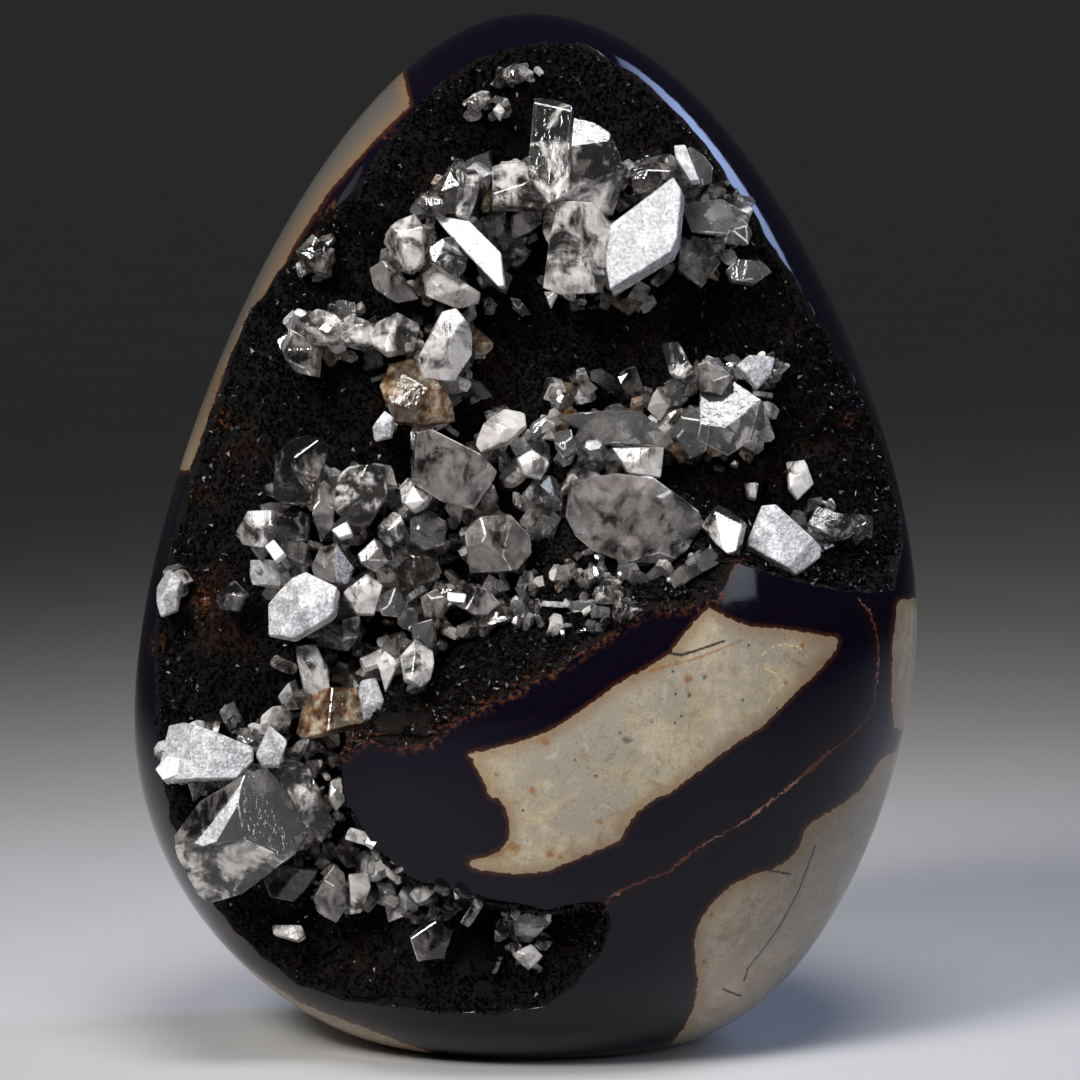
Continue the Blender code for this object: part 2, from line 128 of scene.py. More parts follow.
# %% From the picture to the stone and back
PICTURE_UNIT = 0.0001941
PICTURE_MIDDLE = 540
VIEW_DISTANCE = 1.2
VIEW_TILT = math.radians(6)
VIEW_TARGET = Vector((0.0022, 0, 0.098))
TOWARD_EYE = Vector((0, -math.cos(VIEW_TILT), math.sin(VIEW_TILT)))
PICTURE_UP = Vector((0, math.sin(VIEW_TILT), math.cos(VIEW_TILT)))
EYE = VIEW_TARGET + TOWARD_EYE * VIEW_DISTANCE
OUTLINE_CHUNK = 20000


def picture_places(points):
    """Where points of the stone are seen in the picture."""
    offset = np.asarray(points, dtype=float) - np.array(VIEW_TARGET)
    near = VIEW_DISTANCE - offset @ np.array(TOWARD_EYE)
    reach = VIEW_DISTANCE / (near * PICTURE_UNIT)
    across = PICTURE_MIDDLE + offset[:, 0] * reach
    return np.stack([across, PICTURE_MIDDLE - offset @ np.array(PICTURE_UP) * reach], axis=1)


def sight_line(place):
    """Direction of the line of sight through a place in the picture."""
    aim = VIEW_TARGET + Vector(((place[0] - PICTURE_MIDDLE) * PICTURE_UNIT, 0, 0))
    aim += PICTURE_UP * ((PICTURE_MIDDLE - place[1]) * PICTURE_UNIT)
    return (aim - EYE).normalized()


def side_gaps(spots, starts, runs):
    """Offsets of places from the start of each straight side, and gaps to the nearest side."""
    offset = spots[:, None, :] - starts
    share = np.clip((offset * runs).sum(-1) / (runs * runs).sum(-1), 0, 1)
    apart = offset - runs * share[..., None]
    return offset, np.hypot(apart[..., 0], apart[..., 1]).min(1) * PICTURE_UNIT


def inside_distances(places, outline):
    """Distances in metres from places to a closed outline, positive inside it."""
    corners = np.array(outline, dtype=float)
    run = np.roll(corners, -1, axis=0) - corners
    found = []
    for start in range(0, len(places), OUTLINE_CHUNK):
        spots = places[start:start + OUTLINE_CHUNK]
        offset, gap = side_gaps(spots, corners, run)
        high = spots[:, 1:]
        above = (corners[:, 1] > high) != (corners[:, 1] + run[:, 1] > high)
        rise = np.where(above, run[:, 1], 1.0)
        crossing = corners[:, 0] + offset[..., 1] * run[:, 0] / rise
        odd = (above & (spots[:, :1] < crossing)).sum(1) % 2 == 1
        found.append(gap * np.where(odd, 1, -1))
    return np.concatenate(found)


def line_distances(places, line):
    """Distances in metres from places to an open line."""
    corners = np.array(line, dtype=float)
    chunks = range(0, len(places), OUTLINE_CHUNK)
    return np.concatenate([
        side_gaps(places[start:start + OUTLINE_CHUNK], corners[:-1], np.diff(corners, axis=0))[1]
        for start in chunks])


# %% [markdown]
# ## The hollow
# The hollow is a bowl that follows its edge: its depth below the skin grows quickly near
# the edge and then levels out. A smooth noise makes the floor lumpy.

# %% The hollow's edge and depth
HOLLOW_DEPTH = 0.036
WALL_RUN = 0.014
RIM_LIFT = 0.005
LUMP_SIZE = 0.030
LUMP_HEIGHT = 0.0035
EDGE_WANDER = 0.0006
EDGE_WANDER_SIZE = 0.004
SPINE_LOW = 0.045
SPINE_HIGH = 0.150
SPINE_BACK = 0.005
HOLLOW_EDGE = (
    (393, 131), (432, 89), (470, 62), (505, 47), (545, 40), (582, 43), (634, 73),
    (696, 131), (750, 208), (800, 289), (850, 370), (881, 430), (900, 505), (903, 545),
    (894, 590), (853, 593), (815, 587), (770, 575), (736, 562), (726, 585), (710, 603),
    (682, 610), (649, 610), (603, 639), (560, 669), (504, 698), (443, 726), (433, 744),
    (402, 748), (364, 739), (341, 762), (346, 803), (374, 844), (410, 877), (458, 892),
    (504, 900), (550, 909), (606, 899), (612, 925), (600, 955), (575, 985), (545, 1005),
    (500, 1015), (450, 1012), (400, 1008), (344, 1000), (300, 985), (262, 958),
    (232, 930), (207, 893), (185, 855), (170, 815), (160, 770), (155, 720), (153, 660),
    (157, 600), (170, 540), (187, 480), (207, 420), (225, 370), (243, 320), (262, 295),
    (310, 228), (350, 195),
)


def noise_at(points, size):
    """Smooth noise from about -1 to 1 at each point, in grains of a size."""
    return np.array([noise.noise(Vector(point) / size) for point in points])


def edge_distances(points):
    """How far points of the skin lie inside the hollow's edge, which wanders a little."""
    reach = inside_distances(picture_places(points), HOLLOW_EDGE)
    return reach + EDGE_WANDER * noise_at(points, EDGE_WANDER_SIZE)


def hollow_depths(points):
    """Depths of the hollow's wall below the skin; negative outside the edge."""
    reach = edge_distances(points)
    inner = np.maximum(reach, 0)
    bowl = HOLLOW_DEPTH * (1 - np.exp(-inner / WALL_RUN))
    lump = LUMP_HEIGHT * noise_at(points, LUMP_SIZE) * np.minimum(1.0, inner / WALL_RUN)
    outside = np.maximum(reach * HOLLOW_DEPTH / WALL_RUN, -RIM_LIFT)
    return np.where(reach < 0, outside, bowl + lump)


def inward(points):
    """Directions from the skin towards the stone's inner spine."""
    heights = np.clip(points[:, 2], SPINE_LOW, SPINE_HIGH)
    aim = np.stack([0 * heights, 0 * heights + SPINE_BACK, heights], axis=1) - points
    return aim / np.linalg.norm(aim, axis=1, keepdims=True)


# %% [markdown]
# ## The stone
# The egg is spun from its mean profile, which gives even rings, and each ring is then drawn
# to the two sides. The hollow is a grid laid over the front, sunk to the wall's depth and
# extruded outwards past the skin. A Boolean cuts it from the egg, which leaves a crisp rim,
# as the grinding does on the real stone.

# %% Small helpers for meshes
STONE_TURNS = 352
STONE_RINGS = 190
HOLLOW_COLUMNS = 110
HOLLOW_ROWS = 150
HOLLOW_SWEEP = math.radians(88)
FRONT_LOW = 0.04
FRONT_HIGH = 0.985
OUTER_REACH = 0.11
OUTER_STRETCH = 1.1


def new_object(name, bm):
    mesh = bpy.data.meshes.new(name)
    bm.to_mesh(mesh)
    bm.free()
    piece = bpy.data.objects.new(name, mesh)
    bpy.context.scene.collection.objects.link(piece)
    return piece


def vert_places(bm):
    return np.array([vert.co for vert in bm.verts])


def place_verts(verts, points):
    for vert, point in zip(verts, points):
        vert.co = point


# %% The whole egg
def egg(name):
    """The mean profile spun about the axis, then each ring drawn to its widths."""
    bm = bmesh.new()
    heights = np.interp(np.arange(STONE_RINGS) / STONE_RINGS, MEAN_LENGTHS, MEAN_HEIGHTS)
    widths = np.interp(heights, MEAN_HEIGHTS, MEAN_WIDTHS)
    profile = [bm.verts.new((width, 0, height)) for width, height in zip(widths, heights)]
    profile.insert(0, bm.verts.new((0, 0, 0)))
    profile.append(bm.verts.new((0, 0, HEIGHT)))
    edges = [bm.edges.new(pair) for pair in zip(profile, profile[1:])]
    bmesh.ops.spin(
        bm, geom=profile + edges, cent=(0, 0, 0), axis=(0, 0, 1),
        angle=2 * math.pi, steps=STONE_TURNS, use_merge=True)
    bmesh.ops.remove_doubles(bm, verts=bm.verts, dist=0.00001)
    places = vert_places(bm)
    aside = np.hypot(places[:, 0], places[:, 1])
    turns = np.arctan2(places[:, 0], -places[:, 1])
    drawn = skin_points(turns, places[:, 2])
    place_verts(bm.verts, np.where(aside[:, None] > 0.0001, drawn, places))
    bmesh.ops.recalc_face_normals(bm, faces=bm.faces)
    return new_object(name, bm)


nodule = egg("polished_nodule")
print("egg faces", len(nodule.data.polygons))

# %% The hollow cut into it
def front_grid():
    """Flat grid over the front: across and up both run from -1 to 1."""
    bm = bmesh.new()
    bmesh.ops.create_grid(bm, x_segments=HOLLOW_COLUMNS, y_segments=HOLLOW_ROWS, size=1.0)
    return bm


def skin_under(places):
    """Skin points of grid places."""
    share = FRONT_LOW + (FRONT_HIGH - FRONT_LOW) * (places[:, 1] + 1) / 2
    heights = np.interp(share, MEAN_LENGTHS, MEAN_HEIGHTS)
    return skin_points(places[:, 0] * HOLLOW_SWEEP, heights)


def hollow_space(name):
    """Everything in front of the hollow's wall, as a closed body past the skin."""
    bm = front_grid()
    skin = skin_under(vert_places(bm))
    place_verts(bm.verts, skin + inward(skin) * hollow_depths(skin)[:, None])
    block = bmesh.ops.extrude_face_region(bm, geom=bm.faces[:])["geom"]
    for vert in block:
        if isinstance(vert, bmesh.types.BMVert):
            aside = Vector((vert.co.x, vert.co.y, 0)).normalized()
            height = (vert.co.z - HEIGHT / 2) * OUTER_STRETCH + HEIGHT / 2
            vert.co = Vector((aside.x * OUTER_REACH, aside.y * OUTER_REACH, height))
    bmesh.ops.recalc_face_normals(bm, faces=bm.faces)
    return new_object(name, bm)


def cut_away(piece, cutter):
    """Cut a body from a piece, and keep only the result."""
    step = piece.modifiers.new("Hollow", "BOOLEAN")
    step.operation = "DIFFERENCE"
    step.solver = "MANIFOLD"
    step.object = cutter
    view = bpy.context.evaluated_depsgraph_get()
    result = bpy.data.meshes.new_from_object(piece.evaluated_get(view))
    piece.modifiers.clear()
    piece.data = result
    bpy.data.objects.remove(cutter, do_unlink=True)


cut_away(nodule, hollow_space("hollow_space"))
print("hollowed stone faces", len(nodule.data.polygons))

# %% [markdown]
# ## Where the mudstone ends and the calcite begins
# On the polished skin the pale mudstone shows as islands in dark calcite. A thin brown line
# marks each contact, and a beaded seam runs where the calcite grown from two walls met. Each
# island is an outline in the front picture. Behind, the islands are cells around seeds, as
# in dried mud. Both are stored as signed distances, which a material can turn into crisp
# edges at any size.

# %% Outlines of the front islands
TONGUE_MUD = (
    (709, 607), (726, 617), (749, 627), (782, 629), (815, 634), (839, 638), (835, 652),
    (815, 675), (797, 691), (779, 710), (761, 728), (739, 741), (708, 764), (688, 779),
    (670, 793), (657, 797), (637, 812), (624, 831), (621, 841), (601, 849), (570, 861),
    (545, 872), (519, 874), (489, 872), (471, 868), (467, 860), (484, 858), (502, 850),
    (509, 839), (510, 823), (504, 805), (498, 798), (490, 798), (484, 782), (476, 767),
    (467, 754), (491, 749), (517, 743), (542, 734), (560, 725), (581, 711), (601, 696),
    (619, 683), (644, 670), (670, 654), (680, 639), (693, 624), (703, 613),
)
LOWER_RIGHT_MUD = (
    (899, 749), (881, 759), (871, 774), (861, 790), (841, 805), (815, 820), (804, 830),
    (800, 846), (790, 859), (774, 869), (754, 874), (733, 884), (713, 902), (700, 920),
    (694, 940), (695, 961), (698, 981), (695, 1004), (685, 1027), (672, 1042),
    (660, 1120), (990, 1120), (990, 720),
)
LOWER_LEFT_MUD = (
    (180, 930), (225, 950), (262, 978), (300, 1003), (330, 1015), (370, 1030), (400, 1042),
    (430, 1052), (440, 1120), (150, 1120),
)
UPPER_LEFT_MUD = (
    (410, 105), (370, 145), (330, 190), (300, 235), (270, 290), (240, 350), (225, 370),
    (190, 470), (120, 470), (120, 60), (400, 60),
)
RIGHT_MUD = (
    (898, 600), (893, 640), (891, 700), (894, 728), (915, 733), (990, 735), (990, 590),
)
SEAM_ROUND_TONGUE = (
    (606, 899), (624, 889), (644, 881), (670, 871), (693, 851), (718, 836), (739, 825),
    (777, 797), (805, 774), (830, 751), (848, 740), (866, 721), (875, 703), (876, 685),
    (879, 657), (876, 631), (869, 611), (853, 593), (815, 587), (770, 575), (736, 562),
    (726, 585), (710, 603), (682, 610), (649, 610), (603, 639), (560, 669), (504, 698),
    (443, 726), (433, 744), (402, 748), (364, 739), (341, 762), (346, 803), (374, 844),
    (410, 877), (458, 892), (504, 900), (550, 909),
)

RUST_LINE = (
    (364, 739), (402, 748), (433, 744), (443, 726), (504, 698), (560, 669), (603, 639),
    (649, 610), (682, 610), (710, 603), (726, 585), (736, 562),
)
RUST_REACH = 12
RUST_SPOTS = (
    # across, down, reach
    (345, 748, 22), (325, 205, 22), (312, 245, 18), (388, 134, 12), (222, 420, 16),
    (156, 645, 16), (205, 600, 24), (606, 905, 12), (230, 935, 14), (850, 420, 14),
)

# %% Cells of the sides and the back
CELL_SEEDS = (
    # turn in degrees (0 is the front, positive goes right) and height in millimetres
    (62, 40), (-78, 128), (84, 96), (-48, 6), (118, 148), (-118, 176), (-112, 66),
    (150, 72), (176, 118), (-152, 118), (-166, 44), (112, 30), (170, 10), (-150, 172),
    (150, 176), (0, 60), (30, 190),
)
VEIN_HALF_WIDTH = 0.0065
CELL_WANDER = 0.006
CELL_WANDER_SIZE = 0.022
BACK_START = -0.004
BACK_FULL = 0.014


def cell_fields(points):
    """Signed distances to the nearest cell's edge and to the middle of the vein."""
    seeds = skin_points(
        np.radians([seed[0] for seed in CELL_SEEDS]),
        np.array([seed[1] for seed in CELL_SEEDS]) / 1000)
    moved = points.copy()
    for axis in range(3):
        moved[:, axis] += CELL_WANDER * noise_at(points + axis, CELL_WANDER_SIZE)
    gaps = np.linalg.norm(moved[:, None, :] - seeds, axis=2)
    order = np.argsort(gaps, axis=1)
    ranked = np.take_along_axis(gaps, order, axis=1)
    middle = (ranked[:, 1] - ranked[:, 0]) / 2
    side = np.where(order[:, 0] > order[:, 1], 1, -1)
    return middle - VEIN_HALF_WIDTH, middle * side


def smooth_step(values, low, high):
    share = np.clip((values - low) / (high - low), 0, 1)
    return share * share * (3 - 2 * share)


def stone_fields(points):
    """Mudstone and seam distances over the whole skin, in metres."""
    places = picture_places(points)
    outlines = (TONGUE_MUD, LOWER_RIGHT_MUD, LOWER_LEFT_MUD, UPPER_LEFT_MUD, RIGHT_MUD)
    front_mud = np.max([inside_distances(places, outline) for outline in outlines], axis=0)
    front_seam = inside_distances(places, SEAM_ROUND_TONGUE)
    back_mud, back_seam = cell_fields(points)
    behind = smooth_step(points[:, 1], BACK_START, BACK_FULL)
    return (front_mud * (1 - behind) + back_mud * behind,
            front_seam * (1 - behind) + back_seam * behind, behind)


# %% Store the fields on the stone
MILLIMETRE = 0.001
SKIN_TOLERANCE = 0.0004
OFF_THE_FRONT = -0.05


def store_field(piece, name, values):
    field = piece.data.attributes.new(name, "FLOAT", "POINT")
    field.data.foreach_set("value", np.asarray(values, dtype=np.float32))


def mesh_points(piece):
    points = np.empty(len(piece.data.vertices) * 3, dtype=np.float32)
    piece.data.vertices.foreach_get("co", points)
    return points.reshape(-1, 3).astype(float)


def skin_gaps(points):
    """How far points lie below the skin, measured level."""
    skin = skin_over(points)
    return np.linalg.norm(skin[:, :2], axis=1) - np.linalg.norm(points[:, :2], axis=1)


def rust_amounts(points):
    """Rust from 0 to 1: along the island's upper edge and in a few spots."""
    places = picture_places(points)
    near = 1 - line_distances(places, RUST_LINE) / (RUST_REACH * PICTURE_UNIT)
    for across, up, reach in RUST_SPOTS:
        gap = np.hypot(places[:, 0] - across, places[:, 1] - up)
        near = np.maximum(near, 1 - gap / reach)
    return smooth_step(near, 0, 0.8) * (points[:, 1] < 0.01)


stone_places = mesh_points(nodule)
mud_field, seam_field, behind_field = stone_fields(stone_places)
wall_field = smooth_step(skin_gaps(stone_places), SKIN_TOLERANCE, 3 * SKIN_TOLERANCE)
wall_field *= stone_places[:, 1] < 0
wall_field *= (stone_places[:, 2] > MILLIMETRE) & (stone_places[:, 2] < HEIGHT - MILLIMETRE)
edge_field = edge_distances(stone_places)
edge_field[stone_places[:, 1] > -MILLIMETRE / 2] = OFF_THE_FRONT
store_field(nodule, "mud", mud_field / MILLIMETRE)
store_field(nodule, "seam", seam_field / MILLIMETRE)
store_field(nodule, "wall", wall_field)
store_field(nodule, "edge", edge_field / MILLIMETRE)
store_field(nodule, "rust", rust_amounts(stone_places))
print("mudstone share of the stone's points", round(float((mud_field > 0).mean()), 3))

# %% [markdown]
# ## Smooth skin and crisp rim
# Polished stone has no visible facets, so its faces are shaded smooth. Where two faces meet
# at a steep angle, as along the hollow's rim, the edge is marked sharp.

# %% Smooth shading up to an angle
RIM_ANGLE = math.radians(32)


def smooth_up_to(piece, angle):
    bm = bmesh.new()
    bm.from_mesh(piece.data)
    for face in bm.faces:
        face.smooth = True
    for edge in bm.edges:
        edge.smooth = edge.calc_face_angle(0) < angle
    bm.to_mesh(piece.data)
    bm.free()


smooth_up_to(nodule, RIM_ANGLE)

# %% [markdown]
# ## Helpers for materials
# Each material is a graph of nodes. These helpers add one node at a time and return its
# output, so a material reads as a list of steps. A value that is the same all over is set
# on the shader itself.

# %% Node helpers
def node(tree, kind, inputs=None, **settings):
    """Add a node; an input takes a number, a colour or another node's output."""
    made = tree.nodes.new(kind)
    for name, value in settings.items():
        setattr(made, name, value)
    for name, value in (inputs or {}).items():
        if isinstance(value, bpy.types.NodeSocket):
            tree.links.new(value, made.inputs[name])
        else:
            made.inputs[name].default_value = value
    return made


def colour(red, green, blue):
    return (red, green, blue, 1.0)


def mixed(tree, share, first, second):
    """Blend two colours."""
    return node(tree, "ShaderNodeMix", {0: share, 6: first, 7: second},
                data_type="RGBA").outputs[2]


def maths(tree, operation, first, second=0.0, third=0.0):
    return node(tree, "ShaderNodeMath", {0: first, 1: second, 2: third},
                operation=operation).outputs[0]


def ramp(tree, value, low, high, start=0.0, end=1.0):
    """Smooth change from start to end while a value goes from low to high."""
    return node(tree, "ShaderNodeMapRange", {
        "Value": value, "From Min": low, "From Max": high, "To Min": start, "To Max": end,
    }, interpolation_type="SMOOTHSTEP").outputs[0]


def places_on(tree, scale=(1, 1, 1)):
    """Object coordinates in millimetres, so that a noise scale of 1 is one millimetre."""
    where = node(tree, "ShaderNodeTexCoord").outputs["Object"]
    size = tuple(1 / MILLIMETRE * value for value in scale)
    return node(tree, "ShaderNodeMapping", {"Vector": where, "Scale": size}).outputs[0]


def cloud(tree, where, scale, detail=3.0, roughness=0.55, distortion=0.0):
    return node(tree, "ShaderNodeTexNoise", {
        "Vector": where, "Scale": scale, "Detail": detail,
        "Roughness": roughness, "Distortion": distortion}).outputs["Fac"]


def cells(tree, where, scale, feature="F1", output="Distance"):
    return node(tree, "ShaderNodeTexVoronoi", {"Vector": where, "Scale": scale},
                feature=feature).outputs[output]


def arrow(tree, operation, inputs, output="Vector"):
    """Arithmetic on whole vectors."""
    return node(tree, "ShaderNodeVectorMath", inputs, operation=operation).outputs[output]


def spot_gap(tree, where, place):
    """Distance in millimetres to a point."""
    return arrow(tree, "DISTANCE", {0: where, 1: place / MILLIMETRE}, "Value")


def line_gap(tree, where, line):
    """Distance in millimetres to the nearest straight piece of a drawn line."""
    nearest = 1000.0
    for start, end in zip(line, line[1:]):
        run = (end - start) / MILLIMETRE
        offset = arrow(tree, "SUBTRACT", {0: where, 1: start / MILLIMETRE})
        share = arrow(tree, "DOT_PRODUCT", {0: offset, 1: run / run.length_squared}, "Value")
        share = node(tree, "ShaderNodeClamp", {"Value": share}).outputs[0]
        along = arrow(tree, "SCALE", {0: run, "Scale": share})
        nearest = maths(tree, "MINIMUM", nearest,
                        arrow(tree, "DISTANCE", {0: offset, 1: along}, "Value"))
    return nearest


def field(tree, name):
    return node(tree, "ShaderNodeAttribute", attribute_name=name).outputs["Fac"]


def new_material(name):
    material = bpy.data.materials.new(name)
    material.use_nodes = True
    tree = material.node_tree
    return material, tree, tree.nodes["Principled BSDF"]


def feed(tree, shader, inputs):
    for name, value in inputs.items():
        if isinstance(value, bpy.types.NodeSocket):
            tree.links.new(value, shader.inputs[name])
        else:
            shader.inputs[name].default_value = value


def bump(tree, height, strength, distance, normal=None):
    inputs = {"Height": height, "Strength": strength, "Distance": distance}
    if normal is not None:
        inputs["Normal"] = normal
    return node(tree, "ShaderNodeBump", inputs).outputs[0]


# %% [markdown]
# ## Polished mudstone and calcite
# One material paints the whole stone. It reads the stored distances: inside an island it is
# mudstone, cream with ochre stains, specks and fine cracks, darkened by painted shade towards
# the upper left, the lower right and the island's right tip. Outside it is near-black
# calcite with a violet tint, faint growth bands and a rusty line at the contact. The
# hollow's own wall is rough and brown.

# %% Cracks, veins and stains read from the front
CRACKS = (
    ((669, 653), (682, 655), (701, 649), (724, 641)),
    ((815, 846), (798, 892), (779, 927), (748, 968), (744, 981)),
    ((723, 989), (741, 996)), ((757, 868), (790, 874)),
)
GOLD_VEINS = (
    ((760, 657), (770, 648), (783, 644), (799, 647), (809, 659)),
    ((763, 666), (774, 673), (783, 685), (772, 694), (765, 708)),
)
RUST_THREADS = (((742, 640), (701, 657), (650, 671)), ((478, 858), (500, 854), (513, 842)))
STAINS = (
    # across, down, reach in millimetres
    (688, 679, 1.4), (545, 742, 1.6), (515, 848, 1.8), (550, 853, 1.5), (560, 857, 1.0),
    (802, 646, 1.0), (786, 683, 0.8), (532, 790, 1.2), (600, 822, 1.0), (497, 775, 0.9),
    (712, 915, 1.0), (705, 962, 1.2),
)
# The island's right tip is darkened to grey-brown: partly its own tone, partly painted shade.
TIP_SHADE_SPOT = (818, 658)
DARK_SPOTS = (
    (704, 677, 1.0), (690, 695, 0.9), (627, 740, 1.4), (620, 733, 0.8), (596, 776, 0.7),
    (743, 700, 0.6), (652, 722, 0.6), (575, 760, 0.5),
)


def tree_of(pieces):
    """Pieces as one body that a line of sight can strike."""
    bm = bmesh.new()
    for piece in pieces:
        bm.from_mesh(piece.data)
    tree = BVHTree.FromBMesh(bm)
    bm.free()
    return tree


STONE = tree_of([nodule])


def on_stone(place):
    """The point of the stone that is seen at a place in the picture."""
    return STONE.ray_cast(EYE, sight_line(place))[0]


def nearest_line(tree, where, lines):
    nearest = 1000.0
    for line in lines:
        gap = line_gap(tree, where, [on_stone(place) for place in line])
        nearest = maths(tree, "MINIMUM", nearest, gap)
    return nearest


def spots(tree, where, places, ragged):
    """Soft spots with ragged edges, from 0 to 1."""
    amount = 0.0
    for across, down, reach in places:
        gap = maths(tree, "MULTIPLY_ADD", ragged, reach * 1.6,
                    spot_gap(tree, where, on_stone((across, down))))
        amount = maths(tree, "MAXIMUM", amount, ramp(tree, gap, reach * 0.9, reach * 0.1))
    return amount


# %% The stone's material
CREAM = colour(0.45, 0.375, 0.265)
GREY_CREAM = colour(0.31, 0.275, 0.215)
YELLOW_CREAM = colour(0.47, 0.36, 0.20)
# Painted shade colour for the dim upper left and lower right of the mudstone.
PAINTED_SHADE_CREAM = colour(0.10, 0.090, 0.078)
DUN = colour(0.24, 0.175, 0.115)
CHALK = colour(0.52, 0.47, 0.38)
OCHRE = colour(0.25, 0.092, 0.020)
GOLD = colour(0.60, 0.44, 0.22)
SPECK = colour(0.035, 0.026, 0.020)
CONTACT = colour(0.040, 0.012, 0.007)
CALCITE = colour(0.0030, 0.0020, 0.0062)
CALCITE_BROWN = colour(0.010, 0.0035, 0.004)
SEAM = colour(0.075, 0.020, 0.012)
SEAM_PALE = colour(0.24, 0.135, 0.10)
WALL_BROWN = colour(0.0035, 0.0022, 0.0020)
RUST = colour(0.100, 0.034, 0.012)


def painted_shade_share(tree, where):
    """Share of painted shade on the mudstone: darker towards the upper left and the lower right.
    """
    axes = node(tree, "ShaderNodeSeparateXYZ", {0: where}).outputs
    left = maths(tree, "MULTIPLY", ramp(tree, axes["X"], -8, -24), ramp(tree, axes["Z"], 105, 130))
    right = maths(tree, "MULTIPLY", ramp(tree, axes["X"], 22, 60), ramp(tree, axes["Z"], 75, 45))
    return maths(tree, "MAXIMUM", left, maths(tree, "MULTIPLY", right, 0.6))


def cream_colour(tree, where, mud, fine):
    """The mudstone: cream and grey clouds, painted shade, stains, dark specks, cracks and veins.
    """
    broad = cloud(tree, where, 0.05, 3, 0.55, 0.6)
    cream = mixed(tree, ramp(tree, broad, 0.40, 0.60), CREAM, GREY_CREAM)
    cream = mixed(tree, ramp(tree, cloud(tree, where, 0.11, 4, 0.6), 0.5, 0.68, 0, 0.7),
                  cream, YELLOW_CREAM)
    cream = mixed(tree, ramp(tree, fine, 0.42, 0.62, 0.0, 0.65), cream, GREY_CREAM)
    blotch = ramp(tree, cloud(tree, where, 0.22, 4, 0.7, 0.8), 0.52, 0.66, 0.0, 0.55)
    cream = mixed(tree, blotch, cream, DUN)
    chalk = ramp(tree, cloud(tree, where, 0.30, 4, 0.7, 0.4), 0.56, 0.68, 0.0, 0.45)
    cream = mixed(tree, chalk, cream, CHALK)
    grain = ramp(tree, cloud(tree, where, 2.4, 4, 0.7), 0.50, 0.66, 0.0, 0.42)
    cream = mixed(tree, grain, cream, colour(0.17, 0.12, 0.07))
    # Partly the tip's own grey-brown tone, partly painted shade.
    tip_shade = ramp(tree, spot_gap(tree, where, on_stone(TIP_SHADE_SPOT)), 9.0, 2.0, 0.0, 0.62)
    cream = mixed(tree, tip_shade, cream, DUN)
    # Painted shade: the mudstone darkens towards the upper left and the lower right.
    cream = mixed(tree, painted_shade_share(tree, where), cream, PAINTED_SHADE_CREAM)
    ragged = maths(tree, "SUBTRACT", cloud(tree, where, 1.1, 3, 0.65), 0.5)
    wisp = ramp(tree, cloud(tree, where, 0.07, 5, 0.72, 2.2), 0.60, 0.68, 0, 0.30)
    cream = mixed(tree, wisp, cream, SPECK)
    cream = mixed(tree, ramp(tree, mud, 0.3, 3.4, 0.55, 0.0), cream, colour(0.20, 0.115, 0.05))
    stain = maths(tree, "MULTIPLY", spots(tree, where, STAINS, ragged), 0.80)
    cream = mixed(tree, stain, cream, OCHRE)
    thread = maths(tree, "MULTIPLY_ADD", ragged, 0.9, nearest_line(tree, where, RUST_THREADS))
    cream = mixed(tree, ramp(tree, thread, 0.5, 0.0, 0, 0.6), cream, OCHRE)
    vein = maths(tree, "MULTIPLY_ADD", ragged, 0.5, nearest_line(tree, where, GOLD_VEINS))
    broken = ramp(tree, cloud(tree, where, 1.7, 3), 0.44, 0.58)
    vein = maths(tree, "MULTIPLY", ramp(tree, vein, 0.30, 0.10, 0, 0.9), broken)
    cream = mixed(tree, vein, cream, GOLD)
    dark = maths(tree, "MULTIPLY", spots(tree, where, DARK_SPOTS, ragged), 0.7)
    cream = mixed(tree, dark, cream, SPECK)
    picked = ramp(tree, cells(tree, where, 0.36, output="Color"), 0.66, 0.70)
    speck = maths(tree, "MULTIPLY", ramp(tree, cells(tree, where, 0.36), 0.13, 0.05), picked)
    dusty = ramp(tree, cloud(tree, where, 0.12, 3), 0.44, 0.60)
    tiny = maths(tree, "MULTIPLY", ramp(tree, cells(tree, where, 1.05), 0.19, 0.08), dusty)
    speck = maths(tree, "MAXIMUM", speck, maths(tree, "MULTIPLY", tiny, 0.75))
    crack = maths(tree, "MULTIPLY_ADD", ragged, 0.5, nearest_line(tree, where, CRACKS))
    low = maths(tree, "MAXIMUM", speck, ramp(tree, crack, 0.38, 0.14))
    return mixed(tree, maths(tree, "MULTIPLY", low, 0.92), cream, SPECK)


def calcite_colour(tree, where, mud, seam):
    """Near-black calcite with growth bands, a rusty contact and the beaded seam."""
    band = maths(tree, "SINE", maths(tree, "MULTIPLY_ADD", mud, 2.2,
                                     maths(tree, "MULTIPLY", cloud(tree, where, 0.1, 3), 6.0)))
    bands = maths(tree, "MULTIPLY", ramp(tree, band, 0.3, 1.0), ramp(tree, mud, -6, -2, 0, 0.3))
    calcite = mixed(tree, bands, CALCITE, CALCITE_BROWN)
    calcite = mixed(tree, ramp(tree, mud, -1.1, -0.1, 0.0, 0.95), calcite, CONTACT)
    halo = maths(tree, "MULTIPLY", ramp(tree, seam, 2.2, 0.2, 0.0, 0.75),
                 ramp(tree, field(tree, "edge"), -0.5, -3.0))
    calcite = mixed(tree, halo, calcite, CALCITE_BROWN)
    beads = ramp(tree, cells(tree, where, 1.7), 0.30, 0.52)
    pale = ramp(tree, cloud(tree, where, 0.10, 3), 0.46, 0.66, 0.05, 1.0)
    tone = mixed(tree, maths(tree, "MULTIPLY", beads, pale), SEAM, SEAM_PALE)
    width = ramp(tree, cloud(tree, where, 0.14, 4), 0.36, 0.66, 0.09, 0.32)
    share = maths(tree, "MULTIPLY", maths(tree, "LESS_THAN", seam, width),
                  ramp(tree, field(tree, "edge"), -0.8, -1.8))
    return mixed(tree, share, calcite, tone), share


